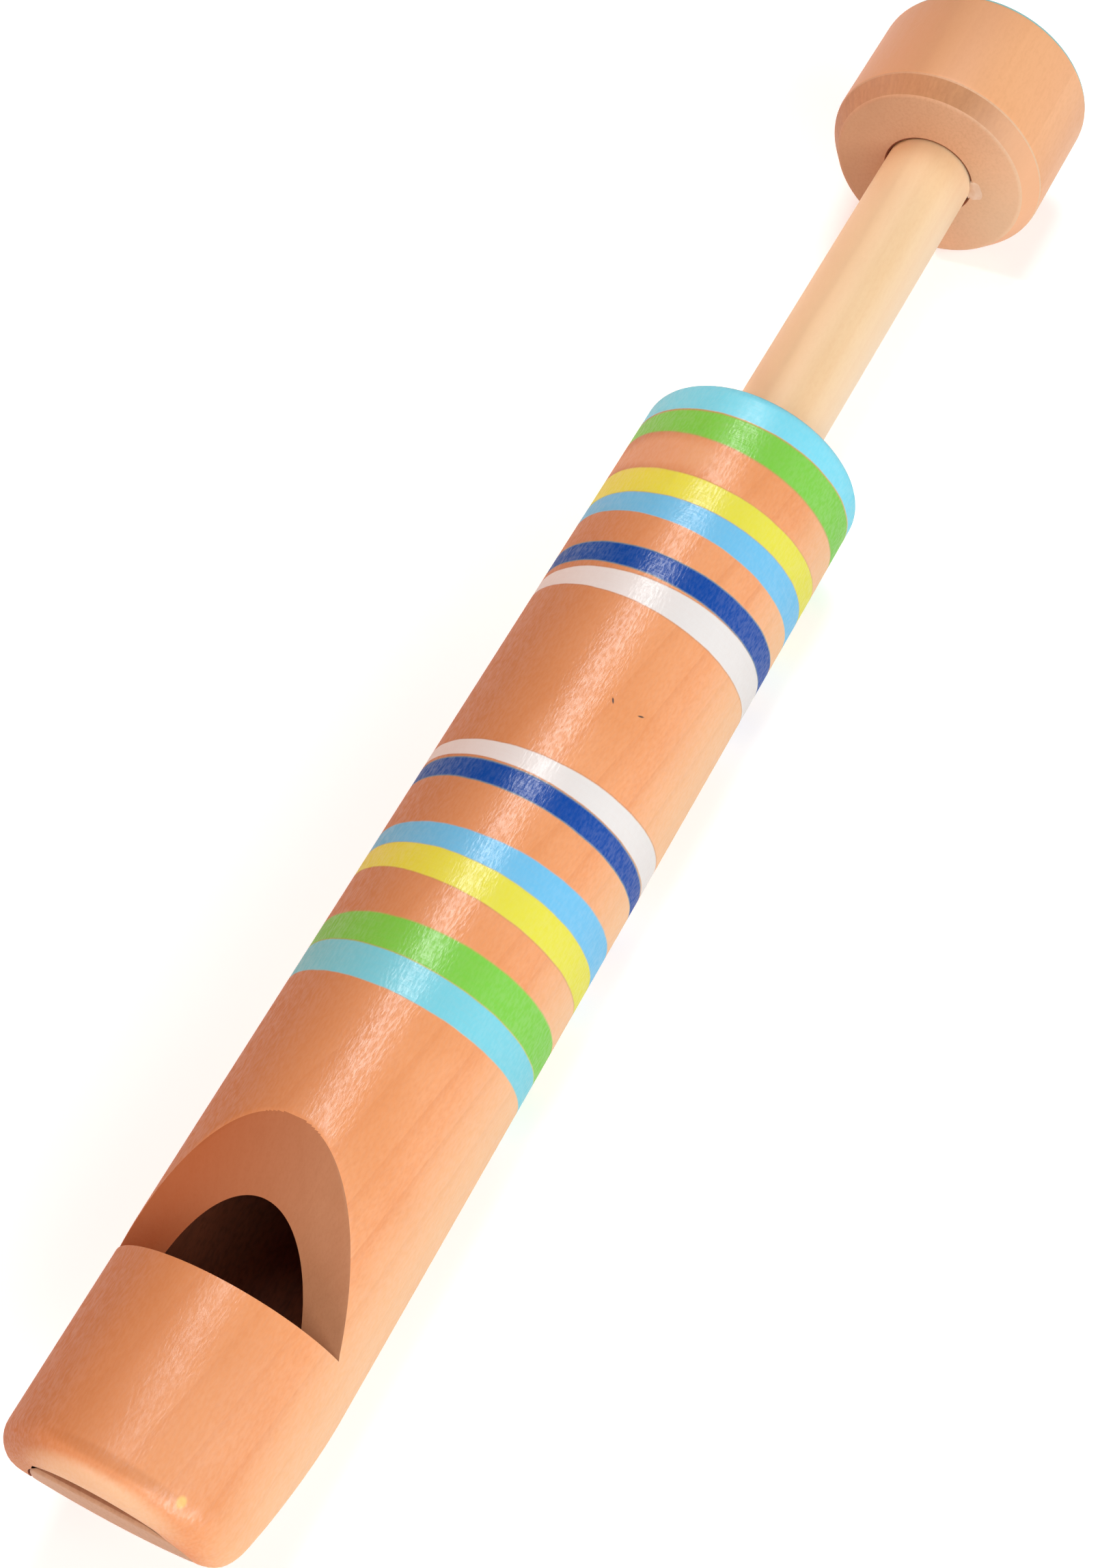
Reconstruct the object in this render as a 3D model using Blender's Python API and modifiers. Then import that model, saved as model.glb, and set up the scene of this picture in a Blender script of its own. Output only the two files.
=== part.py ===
"""Wooden slide whistle: a turned barrel with a blowing beak and a sounding window, and a plunger that
slides in its bore to change the note.

It lies along X with the mouth at -X, the pull knob at +X and the window facing up (+Z). The origin is
below the middle of its length, on the surface that it lies on.
"""

from math import asin, cos, pi, radians, sin, tan

import bmesh
import bpy

MM = 0.001

# Barrel: a through-bored hardwood tube.
BARREL_LENGTH = 127.4 * MM
BARREL_DIAMETER = 25.0 * MM
BORE_DIAMETER = 17.5 * MM
LIP_ROUND = 2.8 * MM
TAIL_ROUND = 1.5 * MM

# Window: an upright wall on the mouth side, and a ramp that runs out on top of the barrel.
WINDOW_FROM_MOUTH = 19.9 * MM
WINDOW_DEPTH = 8.6 * MM
WINDOW_SLOPE = radians(28.5)

# Beak: the underside is sanded away along a slanted round, up to the mouth. The round is flatter than the
# barrel, and it leaves a thin wall under the bore where the block ends.
BEAK_WALL = 1.1 * MM
BEAK_SLOPE = radians(22.2)
BEAK_FLATTER = 9.9 * MM

# Fipple block and guide bush: glued into the two ends of the bore.
WINDWAY_HEIGHT = 3.0 * MM
BUSH_LENGTH = 8.0 * MM

# Plunger: rod, piston head with its rubber ring, and pull knob.
ROD_DIAMETER = 10.4 * MM
ROD_EXPOSED = 47.0 * MM
PULL_LEFT = 2.0 * MM
HEAD_LENGTH = 7.0 * MM
SPIGOT_DIAMETER = 6.0 * MM
SPIGOT_RECESS = 1.0 * MM
SEAL_SECTION = 2.4 * MM
KNOB_DIAMETER = 26.0 * MM
KNOB_LENGTH = 16.5 * MM
KNOB_CHAMFER_WIDTH = 1.6 * MM
KNOB_CHAMFER_LENGTH = 2.4 * MM
KNOB_RIM_ROUND = 1.0 * MM
SOCKET_DEPTH = 11.0 * MM

# Clearances, each on one side.
GLUE_GAP = 0.3 * MM
GUIDE_CLEARANCE = 0.35 * MM
HEAD_CLEARANCE = 0.4 * MM
SEAL_CLEARANCE = 0.2 * MM

# Facets round a turned piece, in a quarter of a rounded edge, round the rubber ring and across the beak.
SIDES = 48
QUARTER = 4
RING_SIDES = 12
BEAK_STEPS = 16

# A rounded edge takes at most this share of the barrel's wall, and a cutter reaches past what it cuts.
EDGE_SHARE = 0.8
CUT_MARGIN = 2.0 * MM
MERGE = 0.01 * MM

# Sizes and places that follow from the ones above, along the axis from the mouth end.
BARREL_RADIUS = BARREL_DIAMETER / 2
BORE_RADIUS = BORE_DIAMETER / 2
ROD_RADIUS = ROD_DIAMETER / 2
KNOB_RADIUS = KNOB_DIAMETER / 2
SPIGOT_RADIUS = SPIGOT_DIAMETER / 2
SEAL_RADIUS = SEAL_SECTION / 2
BARREL_WALL = BARREL_RADIUS - BORE_RADIUS
LIP_RADIUS = min(LIP_ROUND, BARREL_WALL * EDGE_SHARE)
TAIL_RADIUS = min(TAIL_ROUND, BARREL_WALL * EDGE_SHARE)
BEAK_RADIUS = BARREL_RADIUS + BEAK_FLATTER
BEAK_LENGTH = WINDOW_FROM_MOUTH + (BARREL_WALL - BEAK_WALL) / tan(BEAK_SLOPE)
WINDWAY_FLOOR = BORE_RADIUS - WINDWAY_HEIGHT
BUSH_AT = BARREL_LENGTH - BUSH_LENGTH
HEAD_AT = BUSH_AT - PULL_LEFT - HEAD_LENGTH
KNOB_AT = BARREL_LENGTH + ROD_EXPOSED
TOTAL_LENGTH = KNOB_AT + KNOB_LENGTH
AXIS_HEIGHT = max(BARREL_RADIUS, KNOB_RADIUS) * cos(pi / SIDES)
SEAL_RING_RADIUS = BORE_RADIUS - SEAL_CLEARANCE - SEAL_RADIUS
GROOVE_RADIUS = SEAL_RING_RADIUS - SEAL_RADIUS - SEAL_CLEARANCE
GROOVE_HALF_WIDTH = SEAL_RADIUS + SEAL_CLEARANCE
SEAL_AT = HEAD_AT + HEAD_LENGTH / 2


def clear_scene():
    """Remove every object that the file opened with."""
    for item in list(bpy.data.objects):
        bpy.data.objects.remove(item, do_unlink=True)


def new_collection(name):
    """Add a collection to the scene."""
    group = bpy.data.collections.new(name)
    bpy.context.scene.collection.children.link(group)
    return group


def new_material(name, colour, roughness):
    """A Principled material of one colour."""
    material = bpy.data.materials.new(name)
    material.use_nodes = True
    shader = material.node_tree.nodes["Principled BSDF"]
    shader.inputs["Base Color"].default_value = (*colour, 1.0)
    shader.inputs["Roughness"].default_value = roughness
    shader.inputs["Metallic"].default_value = 0.0
    return material


def new_empty(name, group, place, parent=None):
    """An empty that carries pieces."""
    empty = bpy.data.objects.new(name, None)
    empty.location = place
    empty.parent = parent
    group.objects.link(empty)
    return empty


def quarter_round(centre, radius, start):
    """Points of a quarter turn, clockwise from the angle start, in the (radius, height) plane."""
    angles = [start - k * pi / 2 / QUARTER for k in range(QUARTER + 1)]
    return [(centre[0] + radius * cos(a), centre[1] + radius * sin(a)) for a in angles]


def turned(name, group, profile, closed, parent, along):
    """A turned piece: a profile of (radius, height) points round the whistle's axis.

    The profile runs down the outer side. A closed profile makes a ring; an open one starts and ends on
    the axis. Height runs along +X from the place `along`, and a flat facet faces down.
    """
    half_step = pi / SIDES
    points = [(r * cos(half_step), r * sin(half_step), h) for r, h in profile]
    edges = [(k, k + 1) for k in range(len(points) - 1)]
    if closed:
        edges.append((len(points) - 1, 0))
    mesh = bpy.data.meshes.new(name)
    mesh.from_pydata(points, edges, [])
    piece = bpy.data.objects.new(name, mesh)
    group.objects.link(piece)
    piece.parent = parent
    piece.location = (along, 0.0, 0.0)
    piece.rotation_euler = (0.0, pi / 2, 0.0)
    screw = piece.modifiers.new("turning", "SCREW")
    screw.angle = 2 * pi
    screw.steps = SIDES
    screw.render_steps = SIDES
    screw.use_merge_vertices = True
    screw.merge_threshold = MERGE
    screw.use_smooth_shade = True
    return piece


def extruded_cutter(name, group, outline, half_thickness, parent, place, rotation):
    """A cutter: a flat outline, thickened both ways, made a mesh with its caps welded."""
    curve = bpy.data.curves.new(name + "_outline", "CURVE")
    curve.dimensions = "2D"
    curve.fill_mode = "BOTH"
    curve.extrude = half_thickness
    spline = curve.splines.new("POLY")
    spline.points.add(len(outline) - 1)
    for point, (x, y) in zip(spline.points, outline):
        point.co = (x, y, 0.0, 1.0)
    spline.use_cyclic_u = True
    drawing = bpy.data.objects.new(name + "_outline", curve)
    group.objects.link(drawing)
    drawing.parent = parent
    drawing.location = place
    drawing.rotation_euler = rotation
    depsgraph = bpy.context.evaluated_depsgraph_get()
    mesh = bpy.data.meshes.new_from_object(drawing.evaluated_get(depsgraph))
    body = bmesh.new()
    body.from_mesh(mesh)
    bmesh.ops.remove_doubles(body, verts=body.verts, dist=MERGE)
    bmesh.ops.recalc_face_normals(body, faces=body.faces)
    body.to_mesh(mesh)
    body.free()
    cutter = bpy.data.objects.new(name, mesh)
    group.objects.link(cutter)
    cutter.matrix_world = drawing.matrix_world.copy()
    bpy.data.objects.remove(drawing, do_unlink=True)
    cutter.hide_render = True
    cutter.display_type = "WIRE"
    return cutter


def cut(piece, cutter):
    """Subtract a cutter from a piece."""
    boolean = piece.modifiers.new(cutter.name, "BOOLEAN")
    boolean.operation = "DIFFERENCE"
    boolean.object = cutter


def window_cutter(group, body):
    """The wedge that opens the window: upright at its wall, then sloping up to the barrel's top."""
    floor = BARREL_RADIUS - WINDOW_DEPTH
    top = BARREL_RADIUS + CUT_MARGIN
    run = (top - floor) / tan(WINDOW_SLOPE)
    outline = [(0.0, floor), (run, top), (0.0, top)]
    return extruded_cutter("window_cutter", group, outline, BARREL_RADIUS + CUT_MARGIN, body,
                           (WINDOW_FROM_MOUTH, 0.0, 0.0), (pi / 2, 0.0, 0.0))


def beak_cutter(group, body):
    """What the sanding takes off: all that lies below a slanted round that rises to the mouth."""
    width = BARREL_RADIUS + CUT_MARGIN
    reach = asin(width / BEAK_RADIUS)
    angles = [reach * (1 - 2 * k / BEAK_STEPS) for k in range(BEAK_STEPS + 1)]
    outline = [(BEAK_RADIUS * sin(a), BEAK_RADIUS * (1 - cos(a))) for a in angles]
    outline += [(-width, -BARREL_DIAMETER), (width, -BARREL_DIAMETER)]
    half_length = BEAK_LENGTH / cos(BEAK_SLOPE) + BARREL_RADIUS
    return extruded_cutter("beak_cutter", group, outline, half_length, body,
                           (BEAK_LENGTH, 0.0, -BARREL_RADIUS), (pi / 2 + BEAK_SLOPE, 0.0, pi / 2))


def windway_cutter(group, body):
    """The flat that is planed off the top of the block, which leaves the windway above it."""
    outline = [(-CUT_MARGIN, WINDWAY_FLOOR), (WINDOW_FROM_MOUTH + CUT_MARGIN, WINDWAY_FLOOR),
               (WINDOW_FROM_MOUTH + CUT_MARGIN, BARREL_RADIUS), (-CUT_MARGIN, BARREL_RADIUS)]
    return extruded_cutter("windway_cutter", group, outline, BARREL_RADIUS, body,
                           (0.0, 0.0, 0.0), (pi / 2, 0.0, 0.0))


def make_barrel(group, body, window, beak):
    """The tube, rounded at both ends, with its window and beak cut."""
    tail = quarter_round((BARREL_RADIUS - TAIL_RADIUS, BARREL_LENGTH - TAIL_RADIUS), TAIL_RADIUS, pi / 2)
    lip = quarter_round((BARREL_RADIUS - LIP_RADIUS, LIP_RADIUS), LIP_RADIUS, 0.0)
    profile = tail + lip + [(BORE_RADIUS, 0.0), (BORE_RADIUS, BARREL_LENGTH)]
    barrel = turned("barrel", group, profile, True, body, 0.0)
    cut(barrel, window)
    cut(barrel, beak)
    return barrel


def make_fipple_block(group, body, windway, beak):
    """The plug that closes the mouth end below the windway, sanded flush with the beak."""
    radius = BORE_RADIUS - GLUE_GAP
    profile = [(0.0, WINDOW_FROM_MOUTH), (radius, WINDOW_FROM_MOUTH), (radius, 0.0), (0.0, 0.0)]
    block = turned("fipple_block", group, profile, False, body, 0.0)
    cut(block, windway)
    cut(block, beak)
    return block


def make_guide_bush(group, body):
    """The ring in the tail that guides the rod and stops the piston from coming out."""
    outer = BORE_RADIUS - GLUE_GAP
    inner = ROD_RADIUS + GUIDE_CLEARANCE
    profile = [(outer, BUSH_LENGTH), (outer, 0.0), (inner, 0.0), (inner, BUSH_LENGTH)]
    return turned("guide_bush", group, profile, True, body, BUSH_AT)


def make_piston_head(group, plunger):
    """The disc on the rod's inner end, with a groove for the rubber ring and a hole for the spigot."""
    outer = BORE_RADIUS - HEAD_CLEARANCE
    hole = SPIGOT_RADIUS + GLUE_GAP
    middle = HEAD_LENGTH / 2
    profile = [(outer, HEAD_LENGTH), (outer, middle + GROOVE_HALF_WIDTH),
               (GROOVE_RADIUS, middle + GROOVE_HALF_WIDTH), (GROOVE_RADIUS, middle - GROOVE_HALF_WIDTH),
               (outer, middle - GROOVE_HALF_WIDTH), (outer, 0.0), (hole, 0.0), (hole, HEAD_LENGTH)]
    return turned("piston_head", group, profile, True, plunger, HEAD_AT - SEAL_AT)


def make_piston_seal(group, plunger):
    """The round-section rubber ring in the head's groove."""
    angles = [pi / 2 - 2 * pi * k / RING_SIDES for k in range(RING_SIDES)]
    profile = [(SEAL_RING_RADIUS + SEAL_RADIUS * cos(a), SEAL_RADIUS * sin(a)) for a in angles]
    return turned("piston_seal", group, profile, True, plunger, 0.0)


def make_piston_rod(group, plunger):
    """The dowel from the piston head to the bottom of the knob's socket, with its turned spigot."""
    start = HEAD_AT + HEAD_LENGTH + GLUE_GAP
    end = KNOB_AT + SOCKET_DEPTH - GLUE_GAP
    tip = HEAD_AT + SPIGOT_RECESS
    profile = [(0.0, end - start), (ROD_RADIUS, end - start), (ROD_RADIUS, 0.0), (SPIGOT_RADIUS, 0.0),
               (SPIGOT_RADIUS, tip - start), (0.0, tip - start)]
    return turned("piston_rod", group, profile, False, plunger, start - SEAL_AT)


def make_pull_knob(group, plunger):
    """The turned knob: a flat inner face with a bevel round it, a rounded outer rim and a blind socket."""
    socket = ROD_RADIUS + GLUE_GAP
    rim = quarter_round((KNOB_RADIUS - KNOB_RIM_ROUND, KNOB_LENGTH - KNOB_RIM_ROUND), KNOB_RIM_ROUND, pi / 2)
    profile = [(0.0, KNOB_LENGTH)] + rim
    profile += [(KNOB_RADIUS, KNOB_CHAMFER_LENGTH), (KNOB_RADIUS - KNOB_CHAMFER_WIDTH, 0.0),
                (socket, 0.0), (socket, SOCKET_DEPTH), (0.0, SOCKET_DEPTH)]
    return turned("pull_knob", group, profile, False, plunger, KNOB_AT - SEAL_AT)


def main():
    """Build the whistle with its plunger drawn most of the way out."""
    clear_scene()
    whistle = new_collection("slide_whistle")
    cutters = new_collection("slide_whistle_cutters")
    barrel_wood = new_material("lacquered_hardwood", (0.72, 0.33, 0.17), 0.32)
    block_wood = new_material("bare_hardwood", (0.74, 0.42, 0.24), 0.55)
    rod_wood = new_material("birch_dowel", (0.88, 0.62, 0.36), 0.50)
    knob_wood = new_material("sanded_hardwood", (0.78, 0.40, 0.22), 0.48)
    rubber = new_material("black_rubber", (0.02, 0.02, 0.02), 0.75)

    body = new_empty("whistle_body", whistle, (-TOTAL_LENGTH / 2, 0.0, AXIS_HEIGHT))
    plunger = new_empty("plunger", whistle, (SEAL_AT, 0.0, 0.0), body)
    bpy.context.view_layer.update()
    window = window_cutter(cutters, body)
    beak = beak_cutter(cutters, body)
    windway = windway_cutter(cutters, body)

    finishes = [
        (make_barrel(whistle, body, window, beak), barrel_wood),
        (make_fipple_block(whistle, body, windway, beak), block_wood),
        (make_guide_bush(whistle, body), block_wood.copy()),
        (make_piston_rod(whistle, plunger), rod_wood),
        (make_piston_head(whistle, plunger), rod_wood.copy()),
        (make_piston_seal(whistle, plunger), rubber),
        (make_pull_knob(whistle, plunger), knob_wood),
    ]
    for piece, finish in finishes:
        piece.data.materials.append(finish)


if __name__ == "__main__":
    main()
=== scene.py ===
"""Wooden slide whistle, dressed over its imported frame.

Sizes are millimetres in the whistle's own frame: x runs along the bore from the mouth end, y is across and
z is up from the bore's axis, with the sounding window on top. Datum turns them to metres in the row frame.
"""

import logging
import math
from dataclasses import dataclass
from enum import Enum, IntEnum
from typing import Any, Callable, Sequence

import bmesh
import bpy
import numpy as np
from mathutils import Matrix, Vector

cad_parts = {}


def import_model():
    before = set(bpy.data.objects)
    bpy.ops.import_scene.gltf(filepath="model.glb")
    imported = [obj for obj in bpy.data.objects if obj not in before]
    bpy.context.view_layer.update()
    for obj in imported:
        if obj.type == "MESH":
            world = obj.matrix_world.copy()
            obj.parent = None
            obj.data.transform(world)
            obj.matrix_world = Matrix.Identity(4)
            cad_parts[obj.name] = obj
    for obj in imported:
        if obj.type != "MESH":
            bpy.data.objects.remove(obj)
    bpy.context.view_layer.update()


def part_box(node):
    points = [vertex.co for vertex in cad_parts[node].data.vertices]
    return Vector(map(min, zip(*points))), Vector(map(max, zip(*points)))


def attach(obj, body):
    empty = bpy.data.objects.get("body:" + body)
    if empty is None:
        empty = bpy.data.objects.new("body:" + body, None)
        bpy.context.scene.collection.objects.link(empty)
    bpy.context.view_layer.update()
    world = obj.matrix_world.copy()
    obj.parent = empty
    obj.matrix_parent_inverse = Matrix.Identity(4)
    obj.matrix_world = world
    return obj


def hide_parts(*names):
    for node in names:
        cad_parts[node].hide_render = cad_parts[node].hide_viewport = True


Array = np.ndarray
Material = bpy.types.Material
Socket = bpy.types.NodeSocket
Tree = bpy.types.NodeTree
Pair = tuple[float, float]
Triple = tuple[float, float, float]

MM = 0.001
MERGE = 0.002 * MM
SHARP = math.radians(32.0)
FULL_TURN = 2.0 * math.pi
LEAST_COSINE = 1e-3
LEAST_ANGLE = 1e-6
SOFT_NOISE = 3.0
FINE_NOISE = 4.0
# Sockets of a Mix node on colours: the share of the colour over the one under it.
SHARE, UNDER, OVER = 0, 6, 7
LOG = logging.getLogger("slide_whistle")


class Body(Enum):
    """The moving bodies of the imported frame."""

    WHISTLE = "whistle_body"
    SEAL = "seal_ring"
    PLUNGER = "plunger"


class BarrelFace(IntEnum):
    """The finishes on the barrel, in the order of its material slots."""

    LACQUERED = 0
    CUT = 1
    BORE = 2


class BlockFace(IntEnum):
    """The finishes on the block, in the order of its material slots."""

    SANDED = 0
    WINDWAY = 1


class KnobFace(IntEnum):
    """The finishes on the pull knob, in the order of its material slots."""

    SIDE = 0
    END_GRAIN = 1
    SOCKET = 2
    PAINTED = 3
    CHAMFER = 4


class Paint(Enum):
    """The enamel colours of the rings, and the stain and the tint that show along some of their edges."""

    CYAN = "#7CD0DF"
    AQUA = "#80DCF0"
    GREEN = "#7FCC4A"
    YELLOW = "#E6DF4C"
    SKY = "#72C1EA"
    NAVY = "#08479F"
    WHITE = "#E8E2DF"
    STAIN = "#BC7C54"
    TEAL = "#2C86A4"


@dataclass(frozen=True)
class Datum:
    """Where the whistle's own frame stands in the row frame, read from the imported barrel."""

    mouth_x: float
    axis_z: float

    @classmethod
    def of_barrel(cls) -> "Datum":
        """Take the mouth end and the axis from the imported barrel's box."""
        low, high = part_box("barrel")
        return cls(low.x, (low.z + high.z) / 2)

    def place(self, points: Array) -> Array:
        """Turn millimetres from the mouth to metres in the row frame."""
        return points * MM + np.array([self.mouth_x, 0.0, self.axis_z])


@dataclass(frozen=True)
class Patch:
    """A grid of points, rows by columns, and the material slot of its faces, one for all or one each."""

    points: Array
    finish: int | Array = 0
    around: bool = False


def linear(colour: str) -> tuple[float, float, float, float]:
    """Turn an sRGB hex colour to linear RGBA.

    Args:
        colour: "#RRGGBB".

    Returns:
        Red, green, blue and an alpha of 1.
    """
    shares = np.array([int(colour[at:at + 2], 16) for at in (1, 3, 5)]) / 255.0
    bent = ((shares + 0.055) / 1.055) ** 2.4
    red, green, blue = np.where(shares <= 0.04045, shares / 12.92, bent).tolist()
    return red, green, blue, 1.0


def smooth_min(first: Array, second: Array, soften: float | Array) -> Array:
    """The lesser of two distances, with a sanded corner where they cross.

    Within soften of each other, (soften - difference) squared over 4 soften is taken off the lesser one.

    Args:
        first: Distances.
        second: Distances of the same shape.
        soften: Width of the rounded band.

    Returns:
        The joined distances.
    """
    near = np.clip(soften - np.abs(first - second), 0.0, None)
    return np.minimum(first, second) - near * near / (4.0 * soften)


def edge_inset(from_end: Array, round_mm: float) -> Array:
    """How far a quarter-round edge stands in: its radius less the height of the quarter circle there."""
    reach = np.clip(round_mm - from_end, 0.0, round_mm)
    return round_mm - np.sqrt(np.clip(round_mm ** 2 - reach ** 2, 0.0, None))


def flat_reach(rise: Array, turn: Array) -> Array:
    """Distance to a flat that lies rise above, along a ray turned from straight up: rise over cosine."""
    return rise / np.maximum(np.cos(turn), LEAST_COSINE)


def closing_rows(start: float, stop: float, count: int) -> Array:
    """Places whose steps shrink towards stop, where an opening closes, at shares 1 - (1 - t) squared."""
    share = 1.0 - (1.0 - np.linspace(0.0, 1.0, count)) ** 2
    return start + (stop - start) * share


def edge_rows(end: float, inward: float, round_mm: float, count: int) -> Array:
    """Places along a quarter-round edge at equal turns: end plus radius times (1 - cosine)."""
    turn = np.linspace(0.0, math.pi / 2, count)
    return end + inward * round_mm * (1.0 - np.cos(turn))


def rounded_profile(corners: Sequence[Pair], rounds: Sequence[float], steps: int = 7) -> Array:
    """A line of corners, each rounded by a parabola that touches both its sides at round mm from the corner.

    Args:
        corners: (x, radius) of each corner, ends included.
        rounds: Round of each corner; 0 keeps it sharp, as at the two ends.
        steps: Points on each rounded corner.

    Returns:
        An array of (x, radius) rows.
    """
    share = np.linspace(0.0, 1.0, steps)[:, None]
    spots = np.array(corners, dtype=float)
    pieces = []
    for at, size in enumerate(rounds):
        if size == 0.0:
            pieces.append(spots[at:at + 1])
            continue
        back = spots[at - 1] - spots[at]
        ahead = spots[at + 1] - spots[at]
        first = spots[at] + back / np.linalg.norm(back) * size
        last = spots[at] + ahead / np.linalg.norm(ahead) * size
        pieces.append((1 - share) ** 2 * first + 2 * share * (1 - share) * spots[at] + share ** 2 * last)
    return np.concatenate(pieces)


def turned(profile: Array, sides: int) -> Array:
    """Carry a profile once round the axis: x stays, y is radius times sine, z is radius times cosine.

    Args:
        profile: (x, radius) rows.
        sides: Steps round the axis.

    Returns:
        A grid of points, profile by sides, that closes on itself.
    """
    turn = np.linspace(0.0, FULL_TURN, sides, endpoint=False)
    along = np.repeat(profile[:, :1], sides, axis=1)
    return np.stack([along, profile[:, 1:] * np.sin(turn), profile[:, 1:] * np.cos(turn)], axis=-1)


def closed_on_itself(grid: Array) -> Array:
    """A grid with its first column once more after its last."""
    return np.concatenate([grid, grid[:, :1]], axis=1)


def face_middles(grid: Array) -> Array:
    """The mean of the four corners of each face of a grid."""
    return 0.25 * (grid[1:, 1:] + grid[1:, :-1] + grid[:-1, 1:] + grid[:-1, :-1])


def grid_faces(rows: int, columns: int, around: bool) -> Array:
    """Number the corners of a grid's four-sided faces.

    Args:
        rows: Rows of the grid.
        columns: Columns of the grid.
        around: Whether the last column joins the first.

    Returns:
        Four corner numbers for each face.
    """
    spots = np.arange(rows * columns).reshape(rows, columns)
    if around:
        spots = closed_on_itself(spots)
    return np.stack([spots[:-1, :-1], spots[1:, :-1], spots[1:, 1:], spots[:-1, 1:]], axis=-1).reshape(-1, 4)


def mirrored(patches: Sequence[Patch]) -> list[Patch]:
    """The patches and their mirror images across the upright middle plane, with y turned to -y."""
    flip = np.array([1.0, -1.0, 1.0])
    return list(patches) + [Patch(patch.points * flip, patch.finish, patch.around) for patch in patches]


def make_piece(name: str, patches: Sequence[Patch], finishes: Sequence[Material],
               datum: Datum) -> bpy.types.Object:
    """Weld patches into one closed mesh with its faces outwards.

    Args:
        name: Name of the piece.
        patches: Its surfaces, in millimetres.
        finishes: Materials, in the order of the patches' finish numbers.
        datum: Where the whistle stands.

    Returns:
        The new object, at the origin.
    """
    corners, faces, slots, first = [], [], [], 0
    for patch in patches:
        rows, columns = patch.points.shape[:2]
        corners.append(datum.place(patch.points.reshape(-1, 3)))
        made = grid_faces(rows, columns, patch.around)
        faces.append(made + first)
        slots.append(np.broadcast_to(np.ravel(patch.finish).astype(np.int32), len(made)))
        first += rows * columns
    mesh = bpy.data.meshes.new(name)
    mesh.from_pydata(np.concatenate(corners), [], np.concatenate(faces))
    mesh.polygons.foreach_set("material_index", np.concatenate(slots))
    for finish in finishes:
        mesh.materials.append(finish)
    welded = bmesh.new()
    welded.from_mesh(mesh)
    bmesh.ops.remove_doubles(welded, verts=welded.verts, dist=MERGE)
    bmesh.ops.dissolve_degenerate(welded, edges=welded.edges, dist=MERGE)
    bmesh.ops.recalc_face_normals(welded, faces=welded.faces)
    welded.to_mesh(mesh)
    welded.free()
    mesh.polygons.foreach_set("use_smooth", np.ones(len(mesh.polygons), dtype=bool))
    mesh.set_sharp_from_angle(angle=SHARP)
    piece = bpy.data.objects.new(name, mesh)
    bpy.context.scene.collection.objects.link(piece)
    return piece


def seat(piece: bpy.types.Object, body: Body, node: str | None = None) -> None:
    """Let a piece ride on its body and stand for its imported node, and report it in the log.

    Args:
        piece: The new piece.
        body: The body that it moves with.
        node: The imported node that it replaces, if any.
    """
    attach(piece, body.value)
    if node is not None:
        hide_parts(node)
    LOG.info("%s: %d faces on %s", piece.name, len(piece.data.polygons), body.value)


def add_node(tree: Tree, kind: str, inputs: dict[str | int, Any] | None = None,
             **settings: Any) -> Socket | None:
    """Add a node, with its settings and its sockets filled or linked.

    Args:
        tree: The material's node tree.
        kind: Blender's name of the node, without ShaderNode before it.
        inputs: For each socket, a value or the output that feeds it.
        settings: Properties of the node.

    Returns:
        The first output that the settings leave in use, if any; its node has the others.
    """
    node = tree.nodes.new("ShaderNode" + kind)
    for name, value in settings.items():
        setattr(node, name, value)
    for name, value in (inputs or {}).items():
        if isinstance(value, Socket):
            tree.links.new(value, node.inputs[name])
        else:
            node.inputs[name].default_value = value
    return next((output for output in node.outputs if output.enabled), None)


def make_material(name: str, shade: Callable[[Tree], Socket]) -> Material:
    """Make a material from an empty node tree.

    Args:
        name: Name of the material.
        shade: Adds the finish's nodes to the tree and gives its shader.

    Returns:
        The new material.
    """
    material = bpy.data.materials.new(name)
    material.use_nodes = True
    tree = material.node_tree
    tree.nodes.clear()
    add_node(tree, "OutputMaterial", {"Surface": shade(tree)})
    return material


def per_mm(size: float) -> float:
    """Noise scale at which one blob of the noise is size millimetres across, on metres."""
    return 1.0 / (size * MM)


def ring_scale(spacing: float) -> float:
    """Wave scale for growth rings spacing millimetres apart: the wave turns 20 times its scale a metre."""
    return FULL_TURN / (20.0 * spacing * MM)


@dataclass(frozen=True)
class SideShade:
    """A slow change of the wood's colour towards one side: painted shade where darker, painted light where
    paler.

    It sets in at start and is full at end, in millimetres from the axis towards its side, turn degrees from
    the top. It also carries part of the shade that the photograph has on that side.
    """

    colour: str
    share: float
    turn: float
    start: float
    end: float


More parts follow.
